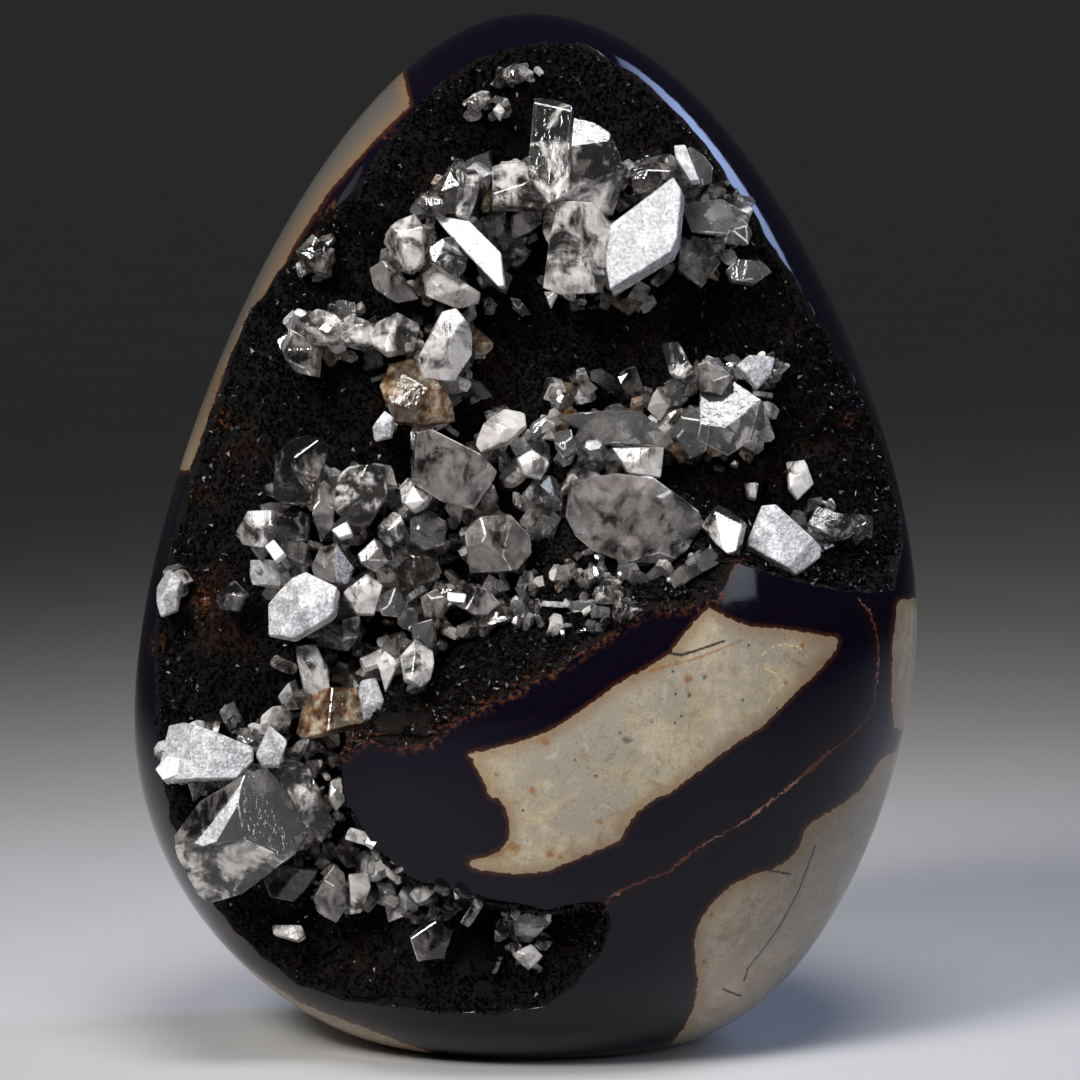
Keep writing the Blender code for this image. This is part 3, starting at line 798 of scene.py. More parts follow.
def stone_material():
    material, tree, shader = new_material("polished_septarian_stone")
    where = places_on(tree)
    wobble = maths(tree, "SUBTRACT", cloud(tree, where, 0.9, 4), 0.5)
    mud = maths(tree, "MULTIPLY_ADD", wobble, 1.1, field(tree, "mud"))
    seam = maths(tree, "ABSOLUTE", maths(tree, "MULTIPLY_ADD", wobble, 1.8, field(tree, "seam")))
    fine = cloud(tree, where, 0.45, 4, 0.65)
    wall = maths(tree, "MAXIMUM", field(tree, "wall"), ramp(tree, field(tree, "edge"), 0.0, 0.3))
    cream = cream_colour(tree, where, mud, fine)
    calcite, seam_share = calcite_colour(tree, where, mud, seam)
    in_mud = ramp(tree, mud, -0.1, 0.1)
    skin = mixed(tree, in_mud, calcite, cream)
    crumbs = ramp(tree, cloud(tree, where, 0.8, 5, 0.65), 0.47, 0.64)
    near_edge = ramp(tree, field(tree, "edge"), -2.4, -0.2)
    rust = maths(tree, "MULTIPLY", near_edge, field(tree, "rust"))
    rust = maths(tree, "MULTIPLY", rust, crumbs)
    skin = mixed(tree, rust, skin, RUST)
    skin = mixed(tree, wall, skin, WALL_BROWN)

    rough = ramp(tree, fine, 0.3, 0.7, 0.04, 0.09)
    rough = maths(tree, "MULTIPLY_ADD", in_mud, 0.12, rough)
    rough = maths(tree, "MULTIPLY_ADD", wall, 0.85, rough)
    rough = maths(tree, "MULTIPLY_ADD", maths(tree, "MAXIMUM", seam_share, rust), 0.3, rough)
    normal = bump(tree, fine, 0.03, 0.0003)
    feed(tree, shader, {
        "Base Color": skin, "Roughness": rough, "Normal": normal,
        "IOR": 1.45, "Specular IOR Level": 0.22})
    return material


nodule.data.materials.clear()
nodule.data.materials.append(stone_material())
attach(nodule, "root")
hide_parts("nodule")
print("stone triangles", sum(len(face.vertices) - 2 for face in nodule.data.polygons))

# %% [markdown]
# ## The hollow's lining
# The lining is a crust of dark calcite over the hollow's wall. Its sheet follows the same
# grid as the hollow, raised a little and roughened, and gets its thickness by an extrusion.

# %% The crust under the crystals
CRUST_RISE = 0.0016
CRUST_RELIEF = 0.0011
CRUST_BACK = 0.0012
CRUST_RIM = 0.0004
ROUGH_SIZES = (0.0065, 0.0028)
SKIN_MARGIN = 0.0005
CRUST_ANGLE = math.radians(60)


def lining(name):
    """Closed sheet over the hollow's wall, rough in front, that ends under the skin."""
    bm = front_grid()
    reach = edge_distances(skin_under(vert_places(bm)))
    outside = {vert for vert, inside in zip(bm.verts, reach) if inside < CRUST_RIM}
    faces = [face for face in bm.faces if outside & set(face.verts)]
    bmesh.ops.delete(bm, geom=faces, context="FACES")
    skin = skin_under(vert_places(bm))
    depths = hollow_depths(skin)
    wall = skin + inward(skin) * depths[:, None]
    rough = noise_at(wall, ROUGH_SIZES[0]) + 0.6 * noise_at(wall, ROUGH_SIZES[1])
    depths -= CRUST_RISE + CRUST_RELIEF * rough
    place_verts(bm.verts, skin + inward(skin) * np.maximum(depths, SKIN_MARGIN)[:, None])
    bmesh.ops.recalc_face_normals(bm, faces=bm.faces)
    if sum(face.normal.y for face in bm.faces) > 0:
        bmesh.ops.reverse_faces(bm, faces=bm.faces)
    bmesh.ops.solidify(bm, geom=bm.faces[:], thickness=CRUST_BACK)
    bmesh.ops.recalc_face_normals(bm, faces=bm.faces)
    return new_object(name, bm)


crust = lining("dark_crust")
smooth_up_to(crust, CRUST_ANGLE)
print("lining faces", len(crust.data.polygons))

# %% [markdown]
# ## Thousands of tiny crystals
# The lining glitters because it is covered in crystals the size of sugar grains. One such
# crystal is made with a cone operator, and copies of it are strewn over the lining with a
# seeded random turn, lean and size. Each copy has only a few faces, so thousands of them
# stay light.

# %% Crystals the size of sugar grains
TINY_COUNT = 26000
TINY_SIZE = (0.00030, 0.00072)
TINY_LEAN = 0.5
TINY_ROOT = 0.45


def tiny_template():
    """A squat four-sided crystal with a point, one unit across."""
    bm = bmesh.new()
    bmesh.ops.create_cone(
        bm, cap_ends=True, segments=4, radius1=0.72, radius2=0.0, depth=1.5)
    bmesh.ops.remove_doubles(bm, verts=bm.verts, dist=0.001)
    bmesh.ops.translate(bm, verts=bm.verts, vec=(0, 0, 0.75 - TINY_ROOT))
    bmesh.ops.triangulate(bm, faces=bm.faces)
    mesh = bpy.data.meshes.new("tiny_template")
    bm.to_mesh(mesh)
    bm.free()
    return mesh


def strewn(name, template, frames):
    """One object from many placed copies of a template mesh."""
    corners = np.array([vert.co for vert in template.vertices])
    faces = np.array([tuple(face.vertices) for face in template.polygons])
    count = len(frames)
    turned = np.einsum("nij,kj->nki", frames[:, :, :3], corners) + frames[:, None, :, 3]
    shifted = faces[None] + (np.arange(count) * len(corners))[:, None, None]
    mesh = bpy.data.meshes.new(name)
    mesh.from_pydata(turned.reshape(-1, 3).tolist(), [],
                     shifted.reshape(-1, faces.shape[1]).tolist())
    piece = bpy.data.objects.new(name, mesh)
    bpy.context.scene.collection.objects.link(piece)
    return piece


def standing_frames(points, normals, sizes, lean, dice):
    """3 x 4 frames that stand on points, lean at random and have a random turn."""
    axes = normals + lean * dice.normal(size=normals.shape)
    axes /= np.linalg.norm(axes, axis=1, keepdims=True)
    aside = np.cross(axes, dice.normal(size=axes.shape))
    aside /= np.linalg.norm(aside, axis=1, keepdims=True)
    third = np.cross(axes, aside)
    frames = np.stack([aside, third, axes], axis=2) * sizes[:, None, :]
    return np.concatenate([frames, points[:, :, None]], axis=2)


def points_on(piece, count, dice, keep):
    """Seeded points over the faces that keep chooses, evenly by area."""
    mesh = piece.data
    faces = [face for face in mesh.polygons if keep(face)]
    areas = np.array([face.area for face in faces])
    chosen = dice.choice(len(faces), size=count, p=areas / areas.sum())
    points, normals = [], []
    for row in chosen:
        face = faces[row]
        corners = [mesh.vertices[index].co for index in face.vertices]
        across, up = dice.random(2)
        near = corners[0].lerp(corners[1], across)
        far = corners[-1].lerp(corners[-2], across)
        points.append(near.lerp(far, up))
        normals.append(face.normal.copy())
    return np.array(points), np.array(normals)


def faces_front(face):
    """True for the lining's front faces, which look out of the stone."""
    middle = face.center
    return face.normal.dot(Vector((0, SPINE_BACK, HEIGHT / 2)) - middle) < 0


def strew_tiny(name, seed):
    dice = np.random.default_rng(seed)
    places, normals = points_on(crust, TINY_COUNT, dice, faces_front)
    sizes = dice.uniform(*TINY_SIZE, size=(TINY_COUNT, 1)) * np.array([[1, 1, 1.1]])
    frames = standing_frames(places, normals, sizes, TINY_LEAN, dice)
    return strewn(name, tiny_template(), frames)


tiny_pieces = [strew_tiny("tiny_crystals_one", 11), strew_tiny("tiny_crystals_two", 12)]
print("tiny crystals", 2 * TINY_COUNT, "faces", len(tiny_pieces[0].data.polygons) * 2)

# %% The same crystals on the bare wall below the rim
RIM_COUNT = 16000
RIM_SIZE = (0.00026, 0.00055)
RIM_BAND = (0.0001, 0.0044)


def wall_near_rim(face):
    """True for the stone's wall faces in a narrow band inside the hollow's edge."""
    inside = np.mean([edge_field[index] for index in face.vertices])
    return RIM_BAND[0] < inside < RIM_BAND[1]


def strew_rim(name, seed):
    dice = np.random.default_rng(seed)
    places, normals = points_on(nodule, RIM_COUNT, dice, wall_near_rim)
    sizes = dice.uniform(*RIM_SIZE, size=(RIM_COUNT, 1)) * np.ones((1, 3))
    deeper = inward(places) * RIM_SIZE[0]
    frames = standing_frames(places + deeper, normals, sizes, TINY_LEAN, dice)
    return strewn(name, tiny_template(), frames)


tiny_pieces.append(strew_rim("rim_crystals", 13))

# %% [markdown]
# ## Dark crystal lining material
# The lining is almost black, with brown patches and a few rusty crumbs near the edge. Its
# crystals are glossy, so a few of their many facets glint in the lamps, while the crust
# between them is dull.

# %% The dark lining's material
DRUSE = colour(0.0016, 0.0013, 0.0015)
DRUSE_BROWN = colour(0.010, 0.0045, 0.003)


def lining_material(name, rough, relief):
    material, tree, shader = new_material(name)
    where = places_on(tree)
    patches = ramp(tree, cloud(tree, where, 0.07, 5, 0.6), 0.52, 0.68)
    tone = mixed(tree, patches, DRUSE, DRUSE_BROWN)
    crumbs = ramp(tree, cloud(tree, where, 0.9, 3), 0.48, 0.66)
    rust = maths(tree, "MULTIPLY", field(tree, "rust"), crumbs)
    tone = mixed(tree, rust, tone, RUST)
    grain = cloud(tree, where, 1.2, 2)
    feed(tree, shader, {
        "Base Color": tone, "Roughness": ramp(tree, grain, 0.3, 0.7, *rough),
        "IOR": 1.45, "Specular IOR Level": 0.16,
        "Normal": bump(tree, grain, relief, 0.0003)})
    return material


dull_finish = lining_material("dark_crust_calcite", (0.75, 0.95), 0.6)
glossy_finish = lining_material("dark_crystal_calcite", (0.10, 0.26), 0.08)
for piece in [crust] + tiny_pieces:
    store_field(piece, "rust", rust_amounts(mesh_points(piece)))
    piece.data.materials.append(dull_finish if piece == crust else glossy_finish)
    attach(piece, "root")
    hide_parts("crystal_crust")

# %% [markdown]
# ## Large clear crystals
# The large crystals are calcite blades, plates and blocks. Each is stated by its outline in
# the front picture, how high it stands over the lining, how thick it is and which way its
# front leans. The outline gives a girdle ring, a front ring and a root in the lining. Their
# convex hull is a prism, and planes slice its front into flat facets that meet in straight
# edges, as a crystal's do. A narrow bevel on each edge catches the light. On the clear and
# smoky crystals every third bevel is painted milky, as a painted highlight along the edge.

# %% How one large crystal grows
CRYSTAL_ROOT = 0.0024
ROOT_SCALE = 0.6
EDGE_BEVEL = 0.00018
HIGHLIGHT_EDGE_STEP = 3
FLAT_ANGLE = math.radians(1)
CUT_TOLERANCE = 1e-6
# The bright kind is white calcite for facets that glint in the lamps: partly white crystal, partly
# a painted glint.
KINDS = {"clear": 0, "milky": 1, "frosted": 2, "smoky": 3, "stained": 4, "bright": 5}
LINING = tree_of([crust])


def leaning(lean_right, lean_up):
    """Direction towards the eye, leant by degrees to the right and upwards."""
    right = math.tan(math.radians(lean_right))
    up = math.tan(math.radians(lean_up))
    return (TOWARD_EYE + Vector((right, 0, 0)) + PICTURE_UP * up).normalized()


def on_plane(place, level, face_to):
    return geometry.intersect_line_plane(EYE, EYE + sight_line(place), level, face_to)


def hull(points):
    """The closed body with flat sides around some points."""
    bm = bmesh.new()
    for point in points:
        bm.verts.new(point)
    made = bmesh.ops.convex_hull(bm, input=bm.verts[:], use_existing_faces=False)
    unused = set(made["geom_interior"]) | set(made["geom_unused"])
    loose = [item for item in unused if isinstance(item, bmesh.types.BMVert)]
    bmesh.ops.delete(bm, geom=loose, context="VERTS")
    bmesh.ops.dissolve_limit(
        bm, angle_limit=FLAT_ANGLE, verts=bm.verts[:], edges=bm.edges[:])
    return bm


def cut(bm, point, normal):
    """Slice off what lies beyond a plane, and close the cut with one flat facet."""
    sliced = bmesh.ops.bisect_plane(
        bm, geom=bm.verts[:] + bm.edges[:] + bm.faces[:], dist=CUT_TOLERANCE,
        plane_co=point, plane_no=normal, clear_outer=True)
    rim = [item for item in sliced["geom_cut"] if isinstance(item, bmesh.types.BMEdge)]
    return bmesh.ops.edgeloop_fill(bm, edges=rim)["faces"] if rim else []


def facet_turns(facets, chance):
    """Turn, slope, place and kind of each front facet; a number asks for that many by chance."""
    if not isinstance(facets, int):
        return [facet if len(facet) == 4 else facet + (None,) for facet in facets]
    start = chance.uniform(0, 360)
    return [(start + 360 / facets * row + chance.uniform(-25, 25),
             chance.uniform(18, 46), chance.uniform(0.0, 0.55), None) for row in range(facets)]


def large_crystal(outline, lift, front, lean, kind, facets, chance):
    """A crystal whose outline, seen from the front, is the stated one."""
    place = tuple(sum(values) / len(outline) for values in zip(*outline))
    floor = LINING.ray_cast(EYE, sight_line(place))[0]
    face_to = leaning(*lean)
    level = floor + TOWARD_EYE * lift * MILLIMETRE
    corners = [on_plane(corner, level, face_to) for corner in outline]
    middle = sum(corners, Vector()) / len(corners)
    reach = sum((corner - middle).length for corner in corners) / len(corners)
    rise = front * MILLIMETRE
    root = TOWARD_EYE * (lift * MILLIMETRE + CRYSTAL_ROOT)
    bm = hull(corners + [corner + face_to * rise for corner in corners]
              + [middle + (corner - middle) * ROOT_SCALE - root for corner in corners])
    right = (Vector((1, 0, 0)) - face_to * face_to.x).normalized()
    up = face_to.cross(right)
    for item in bm.faces:
        item.material_index = KINDS[kind]
    for turn, slope, share, facet_kind in facet_turns(facets, chance):
        toward = right * math.cos(math.radians(turn)) + up * math.sin(math.radians(turn))
        extent = max((corner - middle).dot(toward) for corner in corners) - share * reach
        if extent <= 0:
            continue
        angle = min(math.radians(slope), math.atan(0.95 * rise / extent))
        made = cut(bm, middle + face_to * rise + toward * share * reach,
                   face_to * math.cos(angle) + toward * math.sin(angle))
        for item in made:
            item.material_index = KINDS[facet_kind or kind]
    bmesh.ops.recalc_face_normals(bm, faces=bm.faces[:])
    rims = bmesh.ops.bevel(
        bm, geom=bm.edges[:], offset=EDGE_BEVEL, affect="EDGES", segments=1,
        profile=0.5, material=-1)
    # Painted highlight: every third bevel of a clear or smoky crystal is made milky, a pale line
    # along the edge.
    for item in rims["faces"][::HIGHLIGHT_EDGE_STEP]:
        if kind in ("clear", "smoky"):
            item.material_index = KINDS["milky"]
    return bm


# %% The large crystals, group by group from the crown down
# outline; lift over the lining and rise of the front over it, in millimetres; lean right and
# up; kind; and the front's facets, each a turn from the right, a slope and a share of reach
LARGE_CRYSTALS = (
    # crown: a tall plate of two parts, and the column below it
    (((537, 105), (556, 106), (574, 113), (575, 122), (572, 200), (552, 212), (530, 182),
      (532, 160), (537, 130)), 13, 5, (-6, 14), "milky", ((180, 30, 0.7), (75, 25, 0.8))),
    (((572, 120), (592, 126), (607, 137), (613, 154), (624, 177), (618, 193), (612, 216),
      (585, 214), (560, 200), (566, 150)),
     12, 4.5, (8, 10), "milky", ((20, 30, 0.45), (-60, 35, 0.3), (100, 20, 0.5))),
    (((563, 201), (596, 203), (614, 227), (610, 271), (601, 293), (565, 295), (547, 288),
      (554, 237)), 15, 5, (-10, -2), "milky", ((0, 26, 0.22), (180, 10, 0.35), (-90, 25, 0.75))),
    # the sugary rhomb, and the mirror blade in white painted-glint calcite
    (((614, 233), (677, 185), (685, 198), (680, 248), (674, 260), (614, 297), (609, 271)),
     18, 4, (-12, 20), "frosted", ((-52, 42, 0.72), (175, 20, 0.85))),
    (((436, 218), (447, 224), (471, 224), (502, 255), (506, 289), (500, 289), (472, 260),
      (444, 229)), 15, 1.5, (-15, 21), "bright", ()),
    (((492, 167), (528, 164), (547, 203), (544, 212), (492, 211)), 11, 3.5, (4, 16), "milky", 2),
    # petals left of it
    (((420, 206), (439, 184), (448, 196), (445, 218), (430, 216)), 9, 2.5, (-18, 10), "smoky", 3),
    (((436, 190), (457, 166), (468, 178), (462, 214), (442, 214)), 10, 3, (-10, 12), "milky", 3),
    (((460, 170), (470, 168), (478, 176), (476, 200), (468, 222), (455, 216)),
     11, 3, (8, 10), "milky", 3),
    (((388, 237), (402, 222), (416, 215), (426, 229), (425, 265), (413, 275), (397, 271)),
     10, 3.5, (-14, 8), "milky", 4),
    (((371, 268), (385, 260), (402, 274), (419, 299), (399, 303), (377, 288)),
     8, 3, (-12, -4), "smoky", 4),
    (((427, 251), (440, 243), (453, 240), (468, 254), (464, 274), (455, 282), (430, 265)),
     12, 4, (6, 10), "milky", 3),
    (((422, 276), (436, 262), (455, 276), (481, 293), (479, 304), (458, 309), (427, 296)),
     11, 3.5, (-4, -2), "milky", 4),
    # right of the rhomb
    (((676, 150), (687, 149), (701, 184), (692, 185), (677, 161)), 15, 2, (-12, 22), "bright", ()),
    (((686, 149), (699, 158), (708, 170), (708, 184), (700, 188)), 13, 3, (16, 8), "clear", 3),
    (((630, 172), (650, 163), (672, 168), (680, 182), (655, 196), (634, 194)),
     10, 3.5, (0, 10), "smoky", 4),
    (((681, 205), (719, 202), (750, 217), (747, 226), (725, 237), (691, 232)),
     10, 2, (14, 14), "clear", 2),
    (((722, 243), (725, 229), (739, 220), (749, 234), (744, 246)), 9, 3, (14, 4), "clear", 3),
    (((725, 271), (736, 261), (761, 265), (769, 274), (753, 286), (730, 283)),
     6, 3, (10, 8), "clear", 3),
    (((680, 240), (705, 238), (720, 262), (700, 288), (678, 270)), 8, 3, (6, -4), "smoky", 4),
    (((610, 304), (627, 299), (643, 304), (629, 317)), 4, 2, (0, 8), "stained", 3),
    (((483, 300), (490, 298), (497, 306), (494, 316), (485, 315)), 4, 2, (0, 8), "clear", 3),
    (((510, 299), (520, 301), (530, 315), (522, 317), (512, 309)), 4, 2, (6, 6), "clear", 3),
    (((544, 292), (559, 293), (551, 310)), 5, 2, (0, 4), "milky", 2),
    # chain on the left, over the stained lump
    (((282, 345), (294, 330), (308, 338), (322, 352), (320, 378), (300, 374)),
     7, 3.5, (-18, 4), "smoky", 4),
    (((300, 322), (320, 312), (338, 318), (352, 332), (338, 346), (312, 346)),
     8, 3.5, (-10, 14), "milky", 4),
    (((336, 324), (352, 318), (370, 326), (382, 340), (366, 352), (344, 346)),
     9, 3.5, (-2, 14), "milky", 4),
    (((368, 330), (399, 318), (420, 327), (413, 352), (388, 358), (373, 347)),
     11, 3.5, (-4, 16), "milky", 2),
    (((441, 313), (455, 309), (472, 332), (472, 355), (453, 383), (422, 380), (416, 361),
      (430, 344)), 12, 4.5, (8, 6), "milky", 4),
    (((382, 389), (391, 369), (413, 361), (436, 377), (453, 403), (455, 422), (422, 428),
      (396, 424)), 11, 5, (-8, 10), "stained", 4),
    (((376, 442), (375, 431), (388, 414), (396, 420), (392, 438)),
     12, 2.5, (-14, 16), "frosted", 3),
    # dark block in the middle left, with a lit upper bevel
    (((410, 481), (415, 431), (430, 428), (453, 442), (479, 453), (495, 470), (489, 484),
      (472, 509), (441, 501)),
     13, 5, (6, -4), "smoky", ((72, 42, 0.66), (-70, 14, 0.4), (5, 22, 0.75))),
    (((476, 445), (484, 428), (506, 411), (525, 414), (527, 428), (509, 445), (481, 453)),
     10, 3, (-6, 16), "milky", 3),
    (((516, 459), (531, 450), (548, 464), (540, 481), (523, 476)), 10, 3, (6, 4), "milky", 2),
    # middle left group
    (((278, 457), (298, 439), (310, 435), (330, 446), (317, 471), (314, 506), (288, 506),
      (279, 500)), 10, 4, (-16, 8), "smoky", 4),
    (((314, 488), (325, 480), (335, 490), (333, 526), (321, 543), (312, 515)),
     9, 3, (4, 0), "smoky", 3),
    (((337, 488), (339, 475), (349, 467), (385, 467), (388, 494), (378, 510), (370, 526),
      (353, 526), (337, 514)), 12, 4, (-4, 10), "milky", 3),
    (((333, 533), (349, 524), (354, 537), (341, 541)), 12, 2, (-8, 18), "bright", ()),
    (((243, 531), (255, 511), (276, 510), (280, 530), (270, 548), (249, 545)),
     10, 4, (-20, 0), "milky", 4),
    (((268, 512), (296, 509), (310, 516), (310, 541), (292, 543), (272, 540)),
     9, 3.5, (-12, 8), "smoky", 4),
    (((267, 549), (276, 542), (287, 556), (277, 564)), 14, 1.5, (-16, 21), "bright", ()),
    (((401, 490), (410, 481), (433, 497), (427, 508), (415, 514), (404, 506)),
     13, 3, (-10, 18), "milky", 3),
    (((380, 531), (396, 516), (404, 520), (409, 535), (392, 549), (382, 541)),
     13, 3, (-10, 18), "milky", 2),
    (((357, 555), (374, 539), (390, 549), (392, 561), (376, 573), (361, 565)),
     11, 3, (4, 4), "smoky", 3),
    (((313, 567), (321, 547), (339, 543), (355, 567), (349, 584), (337, 582), (317, 578)),
     11, 3.5, (-6, -2), "smoky", 3),
    (((269, 610), (280, 598), (296, 584), (310, 577), (340, 592), (337, 616), (331, 622),
      (310, 627), (296, 642), (270, 637)), 14, 4.5, (-10, 18), "frosted", 3),
    (((343, 594), (366, 576), (382, 588), (374, 616), (357, 616)), 11, 3.5, (4, 10), "milky", 4),
    (((302, 631), (327, 622), (361, 631), (349, 649), (317, 645)), 9, 3, (0, -10), "smoky", 4),
    (((296, 647), (317, 645), (329, 671), (331, 692), (306, 696), (302, 665)),
     10, 3.5, (-6, 8), "milky", 4),
    (((378, 663), (386, 653), (400, 665), (386, 694)), 10, 2.5, (-4, 14), "milky", 3),
    (((400, 657), (413, 643), (431, 655), (432, 667), (429, 682), (419, 690), (404, 682)),
     12, 4, (8, 12), "milky", 3),
    (((410, 626), (431, 620), (431, 651), (413, 643)), 11, 3, (8, 6), "clear", 3),
    (((449, 594), (468, 586), (488, 590), (500, 604), (486, 616), (474, 616), (449, 602)),
     10, 3, (4, 4), "smoky", 2),
    (((449, 594), (468, 596), (466, 605), (449, 603)), 13, 1.2, (-16, 20), "bright", ()),
    (((464, 531), (480, 516), (510, 514), (529, 535), (531, 553), (517, 569), (470, 573)),
     10, 4, (4, -4), "smoky", 4),
    (((410, 520), (430, 512), (446, 524), (444, 548), (424, 552), (408, 540)),
     10, 3.5, (4, 8), "clear", 4),
    (((392, 572), (412, 556), (438, 560), (440, 578), (415, 590)), 10, 3, (0, 8), "smoky", 4),
    (((378, 596), (396, 588), (406, 602), (400, 618), (382, 616)), 10, 3, (0, 4), "clear", 3),
    (((420, 598), (436, 590), (448, 604), (442, 620), (424, 618)), 9, 3, (4, 8), "smoky", 3),
    # flat crystals in the middle
    (((556, 417), (601, 414), (641, 414), (674, 442), (663, 448), (604, 445)),
     10, 2.5, (0, 12), "clear", 3),
    (((612, 448), (663, 448), (660, 478), (627, 473)), 9, 3, (6, 2), "milky", 3),
    (((556, 433), (572, 430), (578, 452), (566, 460), (557, 450)), 9, 2.5, (-10, 6), "clear", 3),
    (((565, 515), (570, 480), (616, 473), (655, 478), (698, 510), (705, 524), (687, 547),
      (669, 563), (618, 558), (593, 549), (574, 533)),
     10, 3, (4, -10), "smoky", ((-75, 30, 0.6), (100, 18, 0.5), (-20, 20, 0.6))),
    (((624, 479), (653, 479), (673, 494), (664, 501), (643, 497)),
     14, 1.5, (-14, 22), "bright", ((-60, 20, 0.5),)),
    (((662, 344), (680, 344), (698, 377), (694, 384), (672, 377)), 12, 3, (-10, 10), "milky", 2),
    (((697, 366), (715, 363), (733, 380), (722, 396), (700, 392)), 9, 3, (0, 10), "smoky", 3),
    (((700, 392), (733, 382), (761, 405), (764, 428), (750, 442), (728, 456), (697, 440)),
     9, 3.5, (10, 8), "clear", 3),
    (((672, 431), (690, 405), (712, 420), (706, 452), (690, 459)), 9, 3, (-4, 4), "clear", 4),
    (((735, 369), (747, 358), (774, 361), (770, 377), (756, 391), (747, 380)),
     8, 3, (6, 18), "frosted", 4),
    # the cool pair beside the stone's tongue, and the crystals right of it
    (((704, 529), (721, 508), (731, 513), (747, 524), (740, 556), (731, 558), (719, 547)),
     9, 3.5, (-14, 14), "milky", 2),
    (((747, 543), (760, 510), (774, 510), (820, 552), (820, 558), (795, 577), (781, 570),
      (747, 552)), 11, 3.5, (4, 18), "frosted", ((-40, 40, 0.6), (150, 25, 0.7))),
    (((744, 485), (758, 485), (756, 501), (747, 499)), 6, 2, (0, 16), "milky", 2),
    (((786, 462), (804, 460), (813, 485), (797, 501), (788, 490)), 5, 2.5, (6, 10), "milky", 4),
    (((806, 526), (816, 508), (850, 522), (850, 538), (832, 542)), 6, 3, (8, 14), "milky", 4),
    (((850, 515), (872, 517), (870, 540), (857, 538)), 4, 2.5, (10, 14), "milky", 4),
    # lower left: white plate, the big clear crystal, fan and slab
    (((169, 726), (187, 724), (203, 729), (226, 739), (254, 748), (254, 762), (238, 780),
      (207, 778), (189, 782), (171, 784), (160, 774), (173, 760)),
     10, 3.5, (-14, 14), "frosted", 2),
    (((160, 774), (172, 760), (186, 762), (182, 780), (168, 785)), 12, 3, (-16, 20), "bright", ()),
    (((188, 776), (203, 772), (204, 792), (194, 802)), 11, 2.5, (-6, 10), "milky", 3),
    (((267, 768), (242, 778), (201, 802), (175, 837), (178, 856), (199, 896), (209, 904),
      (242, 894), (266, 874), (295, 856), (309, 835), (297, 802)), 11, 9, (0, 4), "clear",
     ((145, 42, 0.42, "smoky"), (150, 22, 0.30, "frosted"), (12, 24, 0.12),
      (-86, 42, 0.0, "milky"), (-40, 44, 0.45, "milky"), (-135, 42, 0.40, "milky"))),
    (((269, 728), (287, 743), (280, 768), (262, 768), (256, 757)), 14, 2.5, (2, 20), "frosted", 3),
    (((272, 768), (292, 758), (308, 772), (318, 800), (334, 828), (322, 843), (306, 830),
      (298, 802)), 13, 4, (4, 16), "milky", 4),
    (((306, 696), (324, 692), (358, 693), (384, 704), (381, 721), (365, 727), (324, 737),
      (303, 740), (296, 733)), 12, 4, (2, 16), "stained", 3),
    (((358, 693), (360, 683), (375, 681), (383, 704), (380, 720), (364, 722)),
     14, 3, (6, 16), "frosted", 3),
    (((262, 874), (283, 864), (318, 868), (315, 878), (295, 900), (271, 894)),
     8, 3.5, (0, -6), "smoky", 2),
    (((313, 896), (324, 876), (334, 864), (344, 872), (348, 905), (336, 921), (316, 909)),
     8, 3.5, (4, -6), "smoky", 3),
    (((348, 874), (367, 872), (369, 886), (360, 913), (350, 914)), 8, 3, (8, 0), "milky", 3),
    (((330, 782), (342, 776), (346, 800), (336, 812), (328, 800)), 6, 3, (6, 8), "milky", 4),
    # bottom of the hollow
    (((407, 884), (424, 880), (440, 888), (438, 902), (420, 907), (408, 898)),
     4, 2.5, (0, 4), "clear", 3),
    (((384, 862), (398, 860), (408, 876), (398, 886), (386, 876)), 5, 2.5, (4, 12), "milky", 4),
    (((512, 920), (535, 910), (552, 922), (535, 938), (515, 936)), 5, 2.5, (4, 14), "milky", 4),
    (((512, 955), (530, 946), (542, 958), (528, 971)), 5, 2.5, (6, 14), "milky", 4),
    (((410, 935), (430, 915), (453, 930), (445, 958), (418, 961)), 5, 3, (0, 0), "smoky", 2),
    (((272, 927), (303, 928), (306, 938), (299, 943), (275, 936)), 5, 2.5, (-6, 16), "milky", 3),
    # far left and crown bits
    (((158, 590), (170, 570), (184, 582), (178, 612), (162, 618)), 6, 3, (-14, 16), "frosted", 4),
    (((218, 598), (235, 580), (250, 595), (240, 612), (222, 611)), 6, 2.5, (-10, 8), "smoky", 4),
    (((300, 255), (315, 236), (335, 250), (328, 275), (306, 272)), 4, 3, (-14, 10), "smoky", 4),
    (((497, 76), (515, 65), (534, 75), (518, 85)), 4, 2, (0, 18), "milky", 4),
    (((466, 104), (476, 96), (486, 104), (478, 112)), 4, 2, (-4, 16), "milky", 4),
    (((493, 112), (499, 105), (505, 114), (500, 122)), 4, 2, (0, 16), "milky", 4),
)


def add_to(whole, part):
    """Append one bmesh to another, and free it."""
    mesh = bpy.data.meshes.new("part")
    part.to_mesh(mesh)
    part.free()
    whole.from_mesh(mesh)
    bpy.data.meshes.remove(mesh)


def all_large_crystals(name):
    chance = random.Random(7)
    whole = bmesh.new()
    haze = []
    for crystal in LARGE_CRYSTALS:
        part = large_crystal(*crystal, chance)
        haze += [chance.random()] * len(part.verts)
        add_to(whole, part)
    piece = new_object(name, whole)
    store_field(piece, "haze", haze)
    return piece


large = all_large_crystals("large_crystals")
print("large crystals", len(LARGE_CRYSTALS), "faces", len(large.data.polygons))

# %% [markdown]
# ## Small crystals between the large ones
# Clusters of small crystals fill the gaps: blocks, prisms with pointed ends and rounded
# grains. Each kind has a few templates, and seeded copies stand on the lining inside oval
# patches of the picture.

# %% Templates of the small crystals
TEMPLATE_KINDS = 6


def block_points(chance):
    """A leaning block, as calcite cleaves."""
    return [Vector((x + 0.3 * y, y + 0.25 * z, z * 1.1 + 0.3))
            for x in (-0.5, 0.5) for y in (-0.45, 0.45) for z in (-0.5, 0.5)]


